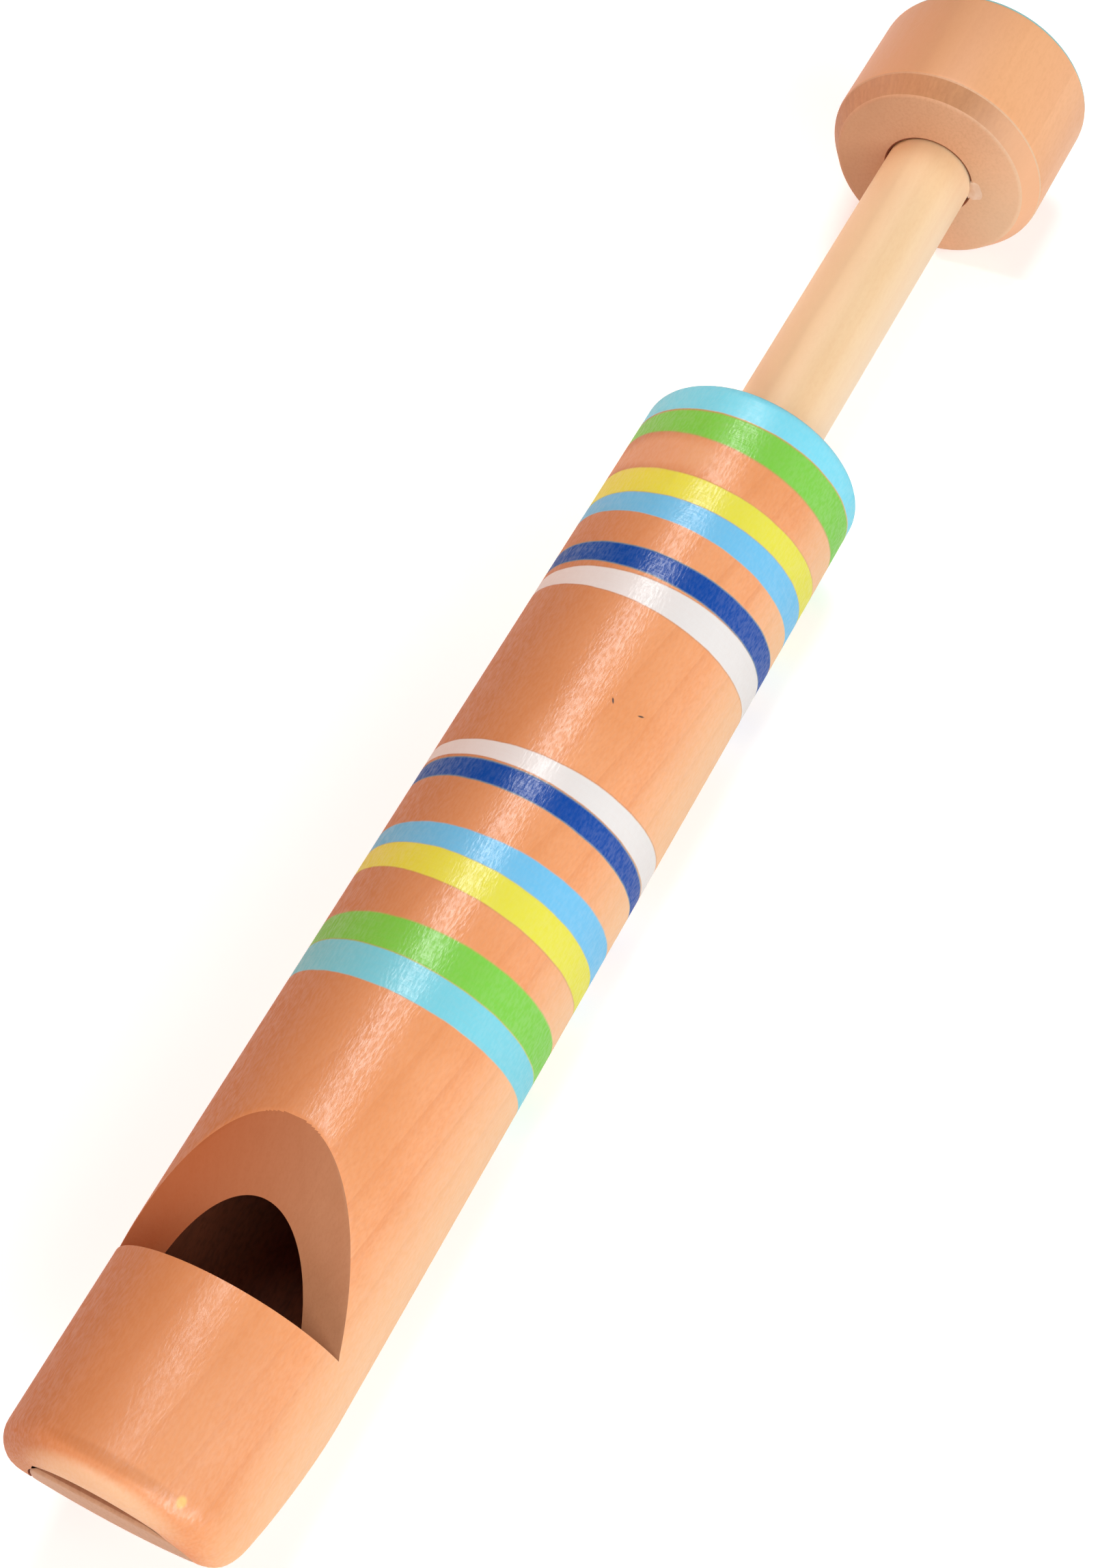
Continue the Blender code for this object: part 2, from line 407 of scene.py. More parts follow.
@dataclass(frozen=True)
class Timber:
    """Turned hardwood: rings about a far pith, soft streaks along the bore, fine flecks and cloudy patches.

    It gives the eye a warm body colour with faint straight grain along the axis, and fine rays on a cross
    cut. A run below 1 draws a pattern out, and a span is the part of a noise over which its pattern sets in.
    """

    name: str
    pale: str
    deep: str
    blush: str
    fleck: str
    ring_mm: float = 2.6
    ring_from: float = 0.55
    ring_share: float = 0.35
    ring_wander: float = 0.6
    ring_detail: float = 2.0
    drift_mm: float = 7.0
    drift_reach_mm: float = 2.6
    streak_mm: float = 0.8
    streak_share: float = 0.35
    streak_stretch: float = 34.0
    streak_rough: float = 0.62
    streak_span: Pair = (0.32, 0.68)
    fleck_mm: float = 0.32
    fleck_share: float = 0.30
    fleck_run: float = 0.4
    fleck_span: Pair = (0.40, 0.72)
    blotch_mm: float = 13.0
    blotch_share: float = 0.5
    blotch_span: Pair = (0.38, 0.66)
    ray_mm: float = 0.40
    ray_share: float = 0.0
    ray_radius_mm: float = 10.0
    ray_run: float = 0.14
    ray_span: Pair = (0.36, 0.70)
    pith_mm: Pair = (29.0, -17.0)
    lean: Pair = (0.012, -0.018)
    roughness: float = 0.5
    rough_spread: float = 0.08
    rough_span: Pair = (-0.4, 0.4)
    relief_mm: float = 0.02
    ior: float = 1.5
    side_shades: tuple[SideShade, ...] = ()

    def grain(self, tree: Tree, datum: Datum) -> tuple[Socket, Socket]:
        """Nodes for the wood's colour and for the height of its flecks and streaks.

        Args:
            tree: The material's node tree.
            datum: Where the whistle stands, so that the pith runs beside the axis.

        Returns:
            The colour and the height.
        """
        spot = add_node(tree, "TexCoord").node.outputs["Object"]
        pith = (0.0, -self.pith_mm[0] * MM, -self.pith_mm[1] * MM - datum.axis_z)
        blank = add_node(tree, "Mapping", {"Vector": spot, "Location": pith, "Rotation": (0.0, *self.lean)})
        long_way = add_node(tree, "Mapping", {
            "Vector": blank, "Scale": (1.0 / self.streak_stretch, 1.0, 1.0)})
        fleck_way = add_node(tree, "Mapping", {"Vector": blank, "Scale": (self.fleck_run, 1.0, 1.0)})
        drift = add_node(tree, "TexNoise", {"Vector": long_way, "Scale": per_mm(self.drift_mm)})
        reach = (0.0, self.drift_reach_mm * MM, self.drift_reach_mm * MM)
        bent = add_node(tree, "VectorMath", {
            0: drift.node.outputs["Color"], 1: reach, 2: long_way}, operation="MULTIPLY_ADD")
        rings = add_node(tree, "TexWave", {
            "Vector": bent, "Scale": ring_scale(self.ring_mm), "Distortion": self.ring_wander,
            "Detail Scale": self.ring_detail}, wave_type="RINGS", rings_direction="X", wave_profile="SAW")
        streaks = add_node(tree, "TexNoise", {
            "Vector": long_way, "Scale": per_mm(self.streak_mm), "Detail": FINE_NOISE,
            "Roughness": self.streak_rough})
        blotches = add_node(tree, "TexNoise", {
            "Vector": spot, "Scale": per_mm(self.blotch_mm), "Detail": FINE_NOISE})
        specks = add_node(tree, "TexNoise", {
            "Vector": fleck_way, "Scale": per_mm(self.fleck_mm), "Detail": SOFT_NOISE})
        late_wood = add_node(tree, "MapRange", {
            "Value": rings.node.outputs["Fac"], "From Min": self.ring_from, "To Max": self.ring_share},
            interpolation_type="SMOOTHSTEP")
        streaky = add_node(tree, "MapRange", {
            "Value": streaks, "From Min": self.streak_span[0], "From Max": self.streak_span[1],
            "To Max": self.streak_share})
        shade = add_node(tree, "Math", {0: late_wood, 1: streaky}, operation="ADD", use_clamp=True)
        colour = add_node(tree, "Mix", {
            SHARE: shade, UNDER: linear(self.pale), OVER: linear(self.deep)}, data_type="RGBA")
        for noise, span, most, over in ((blotches, self.blotch_span, self.blotch_share, self.blush),
                                        (specks, self.fleck_span, self.fleck_share, self.fleck)):
            share = add_node(tree, "MapRange", {
                "Value": noise, "From Min": span[0], "From Max": span[1], "To Max": most},
                interpolation_type="SMOOTHSTEP")
            colour = add_node(tree, "Mix", {
                SHARE: share, UNDER: colour, OVER: linear(over)}, data_type="RGBA")
        if self.ray_share > 0.0:
            share = self.rays(tree, spot, datum)
            colour = add_node(tree, "Mix", {
                SHARE: share, UNDER: colour, OVER: linear(self.fleck)}, data_type="RGBA")
        # Painted shade and painted light towards the sides of the piece.
        for tint in self.side_shades:
            colour = self.shade_side(tree, tint, spot, datum, colour)
        return colour, add_node(tree, "Math", {0: streaks, 1: specks}, operation="SUBTRACT")

    def shade_side(self, tree: Tree, tint: SideShade, spot: Socket, datum: Datum, under: Socket) -> Socket:
        """Lay one side's painted shade or painted light over the wood: its share rises evenly towards its
        side.

        Args:
            tree: The material's node tree.
            tint: The painted shade or painted light.
            spot: Object coordinates.
            datum: Where the whistle stands.
            under: Colour so far.

        Returns:
            The new colour.
        """
        across, up = -math.sin(math.radians(tint.turn)), math.cos(math.radians(tint.turn))
        reach = add_node(tree, "VectorMath", {0: spot, 1: (0.0, across, up)}, operation="DOT_PRODUCT")
        axis = up * datum.axis_z
        share = add_node(tree, "MapRange", {
            "Value": reach, "From Min": axis + tint.start * MM, "From Max": axis + tint.end * MM,
            "To Max": tint.share})
        return add_node(tree, "Mix", {
            SHARE: share, UNDER: under, OVER: linear(tint.colour)}, data_type="RGBA")

    def rays(self, tree: Tree, spot: Socket, datum: Datum) -> Socket:
        """Fine lines that fan out from the axis on a cross cut: noise over the turn round the axis.

        Args:
            tree: The material's node tree.
            spot: Object coordinates.
            datum: Where the whistle stands.

        Returns:
            The share of the lines' colour.
        """
        about = add_node(tree, "Mapping", {"Vector": spot, "Location": (0.0, 0.0, -datum.axis_z)})
        own = add_node(tree, "SeparateXYZ", {0: about}).node.outputs
        turn = add_node(tree, "Math", {0: own["Y"], 1: own["Z"]}, operation="ARCTAN2")
        fan = add_node(tree, "CombineXYZ", {"X": turn, "Y": own["Z"], "Z": own["X"]})
        arc = add_node(tree, "Mapping", {
            "Vector": fan, "Scale": (self.ray_radius_mm * MM, self.ray_run, self.ray_run)})
        lines = add_node(tree, "TexNoise", {
            "Vector": arc, "Scale": per_mm(self.ray_mm), "Detail": SOFT_NOISE})
        return add_node(tree, "MapRange", {
            "Value": lines, "From Min": self.ray_span[0], "From Max": self.ray_span[1],
            "To Max": self.ray_share})

    def shader(self, tree: Tree, datum: Datum) -> Socket:
        """The wood's colour, a little uneven gloss, and the relief of its grain.

        Args:
            tree: The material's node tree.
            datum: Where the whistle stands.

        Returns:
            The shader.
        """
        colour, height = self.grain(tree, datum)
        gloss = add_node(tree, "MapRange", {
            "Value": height, "From Min": self.rough_span[0], "From Max": self.rough_span[1],
            "To Min": self.roughness + self.rough_spread, "To Max": self.roughness - self.rough_spread})
        relief = add_node(tree, "Bump", {"Distance": self.relief_mm * MM, "Height": height})
        return add_node(tree, "BsdfPrincipled", {
            "Base Color": colour, "Roughness": gloss, "Normal": relief, "IOR": self.ior})

    def material(self, datum: Datum) -> Material:
        """The finish as a material on a whistle that stands at the datum."""
        return make_material(self.name, lambda tree: self.shader(tree, datum))


@dataclass(frozen=True)
class PaintedRing:
    """A ring brushed on the turning barrel, between two slanted cuts.

    A cut meets the axis at start or end and leans by its tilt: x moves by the first share of the way across
    and by the second share of the way up. A fringe of stain or tint may show just outside the paint.
    """

    start: float
    end: float
    paint: Paint
    start_tilt: Pair = (0.0, 0.0)
    end_tilt: Pair = (0.0, 0.0)
    soft: float = 0.10
    fringe: Paint | None = None
    fringe_mm: float = 0.12
    fringe_share: float = 0.5


@dataclass(frozen=True)
class MarkOrPaintedLight:
    """A mark or painted shade or light on the barrel: its place along and round, half sizes, slant and
    colour.
    """

    along: float
    turn: float
    half_length: float
    half_width: float
    slant: float
    colour: str
    share: float = 0.8


@dataclass(frozen=True)
class LacqueredTimber(Timber):
    """Hardwood with enamel rings under satin clear lacquer.

    It gives the eye a soft stripe of light along the barrel, brushed colour with hand-made edges, and fine
    pits and ripples in the gloss. The pits are drawn a little coarser than real, so that they show. The
    lacquer covers thinly and unevenly, so its coat has a small weight that follows the pits and is greater
    on the paint, and an index above real keeps the stripe of light bright.
    """

    rings: tuple[PaintedRing, ...] = ()
    marks_and_painted_light: tuple[MarkOrPaintedLight, ...] = ()
    radius: float = 12.5
    wobble_mm: float = 0.22
    wobble_length: float = 3.125
    wobble_rough: float = 0.55
    brush_mm: float = 0.16
    brush_run: float = 0.06
    brush_span: Pair = (0.3, 0.6)
    thin_brush: float = 0.03
    pit_mm: float = 0.25
    pit_run: float = 0.35
    mark_edge: float = 0.4
    under_roughness: float = 0.6
    coat: float = 0.25
    paint_gloss: float = 0.25
    coat_span: Pair = (0.36, 0.64)
    coat_spread: float = 0.55
    coat_ior: float = 2.2

    def shader(self, tree: Tree, datum: Datum) -> Socket:
        """The wood, its rings in order, scratches, spots, painted shade and light, and the lacquer over all.

        Args:
            tree: The material's node tree.
            datum: Where the whistle stands.

        Returns:
            The shader.
        """
        colour = self.grain(tree, datum)[0]
        own = add_node(tree, "Mapping", {
            "Vector": add_node(tree, "TexCoord").node.outputs["Object"],
            "Location": (-datum.mouth_x / MM, 0.0, -datum.axis_z / MM), "Scale": (1.0 / MM,) * 3})
        shake = add_node(tree, "TexNoise", {
            "Vector": own, "Scale": 1.0 / self.wobble_length, "Detail": FINE_NOISE,
            "Roughness": self.wobble_rough})
        place = add_node(tree, "VectorMath", {
            0: shake.node.outputs["Color"], 1: (self.wobble_mm, 0.0, 0.0), 2: own}, operation="MULTIPLY_ADD")
        brush_way = add_node(tree, "Mapping", {
            "Vector": own, "Scale": (1.0, self.brush_run, self.brush_run)})
        brush = add_node(tree, "TexNoise", {
            "Vector": brush_way, "Scale": 1.0 / self.brush_mm, "Detail": SOFT_NOISE})
        pit_way = add_node(tree, "Mapping", {"Vector": own, "Scale": (self.pit_run, 1.0, 1.0)})
        pits = add_node(tree, "TexNoise", {"Vector": pit_way, "Scale": 1.0 / self.pit_mm})
        cover = add_node(tree, "MapRange", {
            "Value": brush, "From Min": self.brush_span[0], "From Max": self.brush_span[1],
            "To Min": 1.0 - self.thin_brush})
        covered = 0.0
        for ring in self.rings:
            colour, covered = self.brush_ring(tree, ring, place, cover, colour, covered)
        # Scratches and spots, and patches of painted shade and painted light.
        for mark in self.marks_and_painted_light:
            colour = self.lay_mark_or_painted_light(tree, mark, own, colour)
        lines = add_node(tree, "Math", {0: covered, 1: brush}, operation="MULTIPLY")
        height = add_node(tree, "Math", {0: pits, 1: lines}, operation="ADD")
        relief = add_node(tree, "Bump", {"Distance": self.relief_mm * MM, "Height": height})
        shine = add_node(tree, "Math", {0: covered, 1: self.paint_gloss, 2: 1.0}, operation="MULTIPLY_ADD")
        patchy = add_node(tree, "MapRange", {
            "Value": pits, "From Min": self.coat_span[0], "From Max": self.coat_span[1],
            "To Min": self.coat * (1.0 - self.coat_spread), "To Max": self.coat * (1.0 + self.coat_spread)})
        film = add_node(tree, "Math", {0: patchy, 1: shine}, operation="MULTIPLY")
        return add_node(tree, "BsdfPrincipled", {
            "Base Color": colour, "Roughness": self.under_roughness, "Specular IOR Level": 0.0,
            "IOR": self.ior, "Coat Weight": film, "Coat Roughness": self.roughness,
            "Coat IOR": self.coat_ior, "Coat Normal": relief})

    def brush_ring(self, tree: Tree, ring: PaintedRing, place: Socket, cover: Socket, under: Socket,
                   covered: Socket | float) -> tuple[Socket, Socket]:
        """Lay one ring over what is there.

        Args:
            tree: The material's node tree.
            ring: The ring.
            place: Millimetres in the whistle's own frame, with the hand's wobble.
            cover: How well the brush covers.
            under: Colour so far.
            covered: Share that is painted so far.

        Returns:
            The new colour and the new painted share.
        """
        inside = self.band(tree, ring, place, 0.0)
        if ring.fringe is not None:
            outer = self.band(tree, ring, place, ring.fringe_mm)
            stain = add_node(tree, "Math", {0: outer, 1: ring.fringe_share}, operation="MULTIPLY")
            under = add_node(tree, "Mix", {
                SHARE: stain, UNDER: under, OVER: linear(ring.fringe.value)}, data_type="RGBA")
        share = add_node(tree, "Math", {0: inside, 1: cover}, operation="MULTIPLY")
        colour = add_node(tree, "Mix", {
            SHARE: share, UNDER: under, OVER: linear(ring.paint.value)}, data_type="RGBA")
        return colour, add_node(tree, "Math", {0: covered, 1: inside}, operation="MAXIMUM")

    def band(self, tree: Tree, ring: PaintedRing, place: Socket, margin: float) -> Socket:
        """The share that lies between a ring's two cuts, each moved outwards by margin.

        The wobble moves a place on by half its reach on average, so both cuts move on as far.

        Args:
            tree: The material's node tree.
            ring: The ring.
            place: Millimetres in the whistle's own frame, with the hand's wobble.
            margin: Millimetres that each cut moves out.

        Returns:
            1 inside, 0 outside, soft at both cuts.
        """
        shares = []
        for cut, tilt, low in ((ring.start - margin, ring.start_tilt, 0.0),
                               (ring.end + margin, ring.end_tilt, 1.0)):
            along = add_node(tree, "VectorMath", {
                0: place, 1: (1.0, -tilt[0], -tilt[1])}, operation="DOT_PRODUCT")
            centre = cut + 0.5 * self.wobble_mm
            shares.append(add_node(tree, "MapRange", {
                "Value": along, "From Min": centre - ring.soft, "From Max": centre + ring.soft,
                "To Min": low, "To Max": 1.0 - low}, interpolation_type="SMOOTHSTEP"))
        return add_node(tree, "Math", {0: shares[0], 1: shares[1]}, operation="MULTIPLY")

    def lay_mark_or_painted_light(self, tree: Tree, mark: MarkOrPaintedLight, own: Socket, under: Socket) -> Socket:
        """Lay one mark or painted shade or light: an ellipsoid about its place on the skin, soft at its
        edge.

        Args:
            tree: The material's node tree.
            mark: The mark.
            own: Millimetres in the whistle's own frame.
            under: Colour so far.

        Returns:
            The new colour.
        """
        turn = math.radians(mark.turn)
        centre = (mark.along, -self.radius * math.sin(turn), self.radius * math.cos(turn))
        local = add_node(tree, "Mapping", {
            "Vector": own, "Location": centre, "Rotation": (turn, 0.0, math.radians(mark.slant)),
            "Scale": (mark.half_length, mark.half_width, mark.half_width)}, vector_type="TEXTURE")
        away = add_node(tree, "VectorMath", {0: local}, operation="LENGTH")
        share = add_node(tree, "MapRange", {
            "Value": away, "From Min": self.mark_edge, "To Min": mark.share, "To Max": 0.0},
            interpolation_type="SMOOTHSTEP")
        return add_node(tree, "Mix", {
            SHARE: share, UNDER: under, OVER: linear(mark.colour)}, data_type="RGBA")


@dataclass(frozen=True)
class Coating:
    """A smooth finish of two clouded colours with a slight relief, such as enamel, rubber or glue."""

    name: str
    base: str
    cloud: str
    cloud_mm: float
    relief: float
    relief_mm: float
    roughness: float
    ior: float
    stroke_run: float = 1.0
    stroke_turn: float = 0.0

    def shader(self, tree: Tree) -> Socket:
        """Both colours mixed by a noise, which brush strokes may draw out across the piece.

        Args:
            tree: The material's node tree.

        Returns:
            The shader.
        """
        way = add_node(tree, "Mapping", {
            "Vector": add_node(tree, "TexCoord").node.outputs["Object"],
            "Rotation": (self.stroke_turn, 0.0, 0.0), "Scale": (1.0, self.stroke_run, 1.0)})
        clouds = add_node(tree, "TexNoise", {
            "Vector": way, "Scale": per_mm(self.cloud_mm), "Detail": SOFT_NOISE})
        colour = add_node(tree, "Mix", {
            SHARE: clouds, UNDER: linear(self.base), OVER: linear(self.cloud)}, data_type="RGBA")
        relief = add_node(tree, "Bump", {
            "Strength": self.relief, "Distance": self.relief_mm * MM, "Height": clouds})
        return add_node(tree, "BsdfPrincipled", {
            "Base Color": colour, "Roughness": self.roughness, "Normal": relief, "IOR": self.ior})

    def material(self) -> Material:
        """The finish as a material."""
        return make_material(self.name, self.shader)


@dataclass
class Mouthpiece:
    """The outside of the barrel's mouth end, shared by the barrel and the block in it."""

    radius: float = 12.5
    bore: float = 8.75
    lip: float = 2.8
    beak_length: float = 26.394
    beak_slope: float = math.radians(22.2)
    beak_radius: float = 22.4
    beak_edge: float = 1.0
    beak_soften: float = 0.8
    tip_soften: float = 0.6
    tip_length: float = 4.0
    beak_drop: float = 2.0
    inner_lip: float = 0.6
    windway_turn: Pair = (math.radians(42.0), math.radians(52.0))

    def rise(self, x: Array) -> Array:
        """Height of the beak's lowest line: it climbs from the barrel's underside towards the mouth."""
        climb = np.maximum(math.tan(self.beak_slope) * (self.beak_length - x), -self.beak_drop)
        return climb - self.radius

    def centre(self, x: Array) -> Array:
        """Height about which a section is drawn: half way between the beak and the top."""
        return 0.5 * math.tan(self.beak_slope) * np.clip(self.beak_length - x, 0.0, None)

    def round_reach(self, radius: Array, mid: Array, turn: Array) -> Array:
        """Distance from height mid to a round about the axis, along a ray turned from straight up."""
        return np.sqrt(radius ** 2 - (mid * np.sin(turn)) ** 2) - mid * np.cos(turn)

    def beak_axes(self, x: Array) -> tuple[Array, Array, Array]:
        """The ellipse that the slanted round leaves in a section.

        Args:
            x: Places along the barrel.

        Returns:
            Its half width, its half height and the height of its middle.
        """
        inset = edge_inset(x, self.beak_edge)
        tall = self.beak_radius / math.cos(self.beak_slope)
        return self.beak_radius - inset, tall - inset, self.rise(x) + tall

    def beak_reach(self, x: Array, turn: Array, mid: Array) -> Array:
        """Distance to the beak's ellipse: the positive root of its quadratic along the ray.

        Args:
            x: Places along the barrel.
            turn: Angles of the rays from straight up.
            mid: Height at which they start.

        Returns:
            The distances.
        """
        wide, tall, middle = self.beak_axes(x)
        square = (np.sin(turn) / wide) ** 2 + (np.cos(turn) / tall) ** 2
        half = np.cos(turn) * (mid - middle) / tall ** 2
        rest = ((mid - middle) / tall) ** 2 - 1.0
        return (np.sqrt(half ** 2 - square * rest) - half) / square

    def reach(self, x: Array, turn: Array) -> Array:
        """Distance to the outside: the nearer of the turned round and the beak.

        The corner between them is sanded, rounder by a falling exponential towards the mouth.

        Args:
            x: Places along the barrel.
            turn: Angles from straight up, about the section's centre.

        Returns:
            The distances.
        """
        mid = self.centre(x)
        barrel = self.round_reach(self.radius - edge_inset(x, self.lip), mid, turn)
        soften = self.beak_soften + self.tip_soften * np.exp(-np.square(x / self.tip_length))
        return smooth_min(barrel, self.beak_reach(x, turn, mid), soften)

    def bare_bore(self, x: Array) -> Array:
        """Angle at which the beak cuts into the bore: the height that solves both rounds, as a cosine.

        Args:
            x: Places along the barrel.

        Returns:
            Angles from straight up, about the axis; half a turn where the beak doesn't reach the bore.
        """
        wide, tall, middle = self.beak_axes(x)
        square = 1.0 / tall ** 2 - 1.0 / wide ** 2
        slope = 2.0 * middle / tall ** 2
        rest = (middle / tall) ** 2 + (self.bore / wide) ** 2 - 1.0
        height = 2.0 * rest / (slope + np.sqrt(slope ** 2 - 4.0 * square * rest))
        return np.arccos(np.clip(height / self.bore, -1.0, 1.0))


@dataclass
class Barrel:
    """The turned tube with its sounding window, its beak and its painted rings."""

    mouth: Mouthpiece
    length: float = 127.4
    tail: float = 1.5
    window_at: float = 19.9
    window_floor: float = 3.9
    window_slope: float = math.radians(28.5)
    ramp_soften: float = 0.22
    ramp_margin: float = 0.6
    wall_columns: int = 26
    ramp_columns: int = 30
    round_columns: int = 62
    edge_count: int = 10
    beak_count: int = 46
    web_count: int = 7
    opening_count: int = 40
    ramp_count: int = 60
    plain_count: int = 48
    face_count: int = 9
    least_split: float = 0.24

    def ramp(self, x: Array) -> Array:
        """Height of the ramp above the axis: it rises evenly from the foot of the window's wall."""
        return self.window_floor + math.tan(self.window_slope) * (x - self.window_at)

    def mouth_rows(self) -> Array:
        """Rows from the mouth to the window's wall.

        Returns:
            Their places along the barrel.
        """
        wall = self.mouth.radius - self.mouth.bore
        closes = self.mouth.beak_length - wall / math.tan(self.mouth.beak_slope)
        lip = edge_rows(0.0, 1.0, self.mouth.lip, self.edge_count)
        beak = closing_rows(self.mouth.lip, closes, self.beak_count)
        web = np.linspace(closes, self.window_at, self.web_count)
        return np.concatenate([lip, beak[1:], web[1:]])

    def body_rows(self) -> Array:
        """Rows from the window's wall to the tail.

        Returns:
            Their places along the barrel.
        """
        pitch = math.tan(self.window_slope)
        labium = self.window_at + (self.mouth.bore - self.window_floor) / pitch
        run_out = self.window_at + (self.mouth.radius - self.window_floor) / pitch + self.ramp_margin
        opening = closing_rows(self.window_at, labium, self.opening_count)
        ramp = np.linspace(labium, run_out, self.ramp_count)
        plain = np.linspace(run_out, self.length - self.tail, self.plain_count)
        tail = edge_rows(self.length, -1.0, self.tail, self.edge_count)[::-1]
        return np.concatenate([opening, ramp[1:], plain[1:], tail[1:]])

    def outside(self, x: Array, turn: Array, windowed: bool) -> Array:
        """Points of the outer skin: the section's centre plus its reach along the ray.

        Args:
            x: Places along the barrel, one for each row.
            turn: Angles from straight up, about the section's centre.
            windowed: Whether the ramp also bounds the reach.

        Returns:
            Points on a grid.
        """
        x, turn = np.broadcast_arrays(x[:, None], turn)
        reach = self.mouth.reach(x, turn) - edge_inset(self.length - x, self.tail)
        mid = self.mouth.centre(x)
        if windowed:
            reach = smooth_min(reach, flat_reach(self.ramp(x) - mid, turn), self.ramp_soften)
        return np.stack([x, reach * np.sin(turn), mid + reach * np.cos(turn)], axis=-1)

    def inside(self, x: Array, turn: Array) -> Array:
        """Points of the bore: a round about the axis, with its edge eased at the lip over the windway.

        Args:
            x: Places along the barrel, one for each row.
            turn: Angles from straight up, about the axis.

        Returns:
            Points on a grid.
        """
        x, turn = np.broadcast_arrays(x[:, None], turn)
        first, last = self.mouth.windway_turn
        over = np.clip((last - turn) / (last - first), 0.0, 1.0)
        radius = self.mouth.bore + edge_inset(x, self.mouth.inner_lip) * over
        return np.stack([x, radius * np.sin(turn), radius * np.cos(turn)], axis=-1)

    def spread(self, stops: Sequence[Array], counts: Sequence[int]) -> Array:
        """Angles across each row: even steps between each two stops.

        Args:
            stops: Angles of each stop, one for each row.
            counts: Steps between each two stops.

        Returns:
            Angles, rows by columns.
        """
        parts = [stops[0][:, None]]
        for first, last, count in zip(stops, stops[1:], counts):
            share = np.linspace(0.0, 1.0, count + 1)[None, 1:]
            parts.append(first[:, None] + (last - first)[:, None] * share)
        return np.concatenate(parts, axis=1)

    def window_angles(self, x: Array) -> tuple[Array, Array, Array]:
        """Angles of the window's two outlines in each section.

        Args:
            x: Places along the barrel.

        Returns:
            Angle of the opening about the section's centre and about the axis, and of the ramp's outer edge.
        """
        height = self.ramp(x)
        mid = self.mouth.centre(x)
        bore = np.sqrt(np.clip(self.mouth.bore ** 2 - height ** 2, 0.0, None))
        skin = np.sqrt(np.clip(self.mouth.radius ** 2 - height ** 2, 0.0, None))
        opening = np.where(bore > 0.0, np.arctan2(bore, height - mid), 0.0)
        return opening, np.arctan2(bore, height) * (bore > 0.0), np.arctan2(skin, height - mid)

    def sawn(self, x: Array, turn: Array) -> Array:
        """Which faces of the skin lie on the saw's ramp: there the ramp is nearer than the round.

        Args:
            x: Places of the rows.
            turn: Angles of the columns in each row.

        Returns:
            True for each face on the ramp.
        """
        place = 0.5 * (x[1:] + x[:-1])[:, None]
        middle = face_middles(turn)
        ramp = flat_reach(self.ramp(place) - self.mouth.centre(place), middle)
        return ramp < self.mouth.reach(place, middle)

    def half(self) -> list[Patch]:
        """One half of the barrel.

        Returns:
            Patches that share their borders.
        """
        front, back = self.mouth_rows(), self.body_rows()
        counts = (self.wall_columns, self.ramp_columns, self.round_columns)
        past_wall = counts[1] + counts[2]
        opening, bore_opening, edge = self.window_angles(back)
        bore = self.mouth.bore
        bare = self.mouth.bare_bore(front)
        bare_skin = np.arctan2(bore * np.sin(bare), bore * np.cos(bare) - self.mouth.centre(front))
        same = np.ones_like(front)
        bore_turn = self.spread([0.0 * same, bore_opening[0] * same, bare], (counts[0], past_wall))
        skin_turn = self.spread([0.0 * same, opening[0] * same, edge[0] * same, bare_skin], counts)
        front_bore = self.inside(front, bore_turn)
        front_skin = self.outside(front, skin_turn, False)
        feather = bare < math.pi - LEAST_ANGLE
        front_skin[feather, -1] = front_bore[feather, -1]
        half_turn = np.full_like(back, math.pi)
        split = np.maximum(edge, self.least_split)
        back_skin_turn = self.spread([opening, split, half_turn], counts[1:])
        back_bore = self.inside(back, self.spread([bore_opening, half_turn], (past_wall,)))
        back_skin = self.outside(back, back_skin_turn, True)
        open_rows = opening > 0.0
        back_skin[open_rows, 0] = back_bore[open_rows, 0]
        back_skin[0, counts[1]:] = front_skin[-1, counts[0] + counts[1]:]
        back_bore[0] = front_bore[-1, counts[0]:]
        wall_foot = np.concatenate([front_bore[-1, :counts[0] + 1], back_skin[0, 1:counts[1] + 1]])
        wall_top = front_skin[-1, :counts[0] + counts[1] + 1]
        step = np.linspace(0.0, 1.0, self.face_count)[:, None, None]
        wall = wall_foot + (wall_top - wall_foot) * step
        mouth_face = front_bore[0] + (front_skin[0] - front_bore[0]) * step
        tail_face = back_bore[-1] + (back_skin[-1] - back_bore[-1]) * step
        sawn = self.sawn(back, back_skin_turn)
        return [Patch(front_skin, BarrelFace.LACQUERED), Patch(front_bore, BarrelFace.BORE),
                Patch(mouth_face, BarrelFace.LACQUERED), Patch(wall, BarrelFace.CUT),
                Patch(back_skin, np.where(sawn, BarrelFace.CUT, BarrelFace.LACQUERED)),
                Patch(back_bore, BarrelFace.BORE), Patch(tail_face, BarrelFace.CUT)]

    def build(self, datum: Datum, finishes: Sequence[Material]) -> None:
        """Make the barrel from its two halves and seat it."""
        piece = make_piece("barrel_turned", mirrored(self.half()), finishes, datum)
        seat(piece, Body.WHISTLE, "barrel")


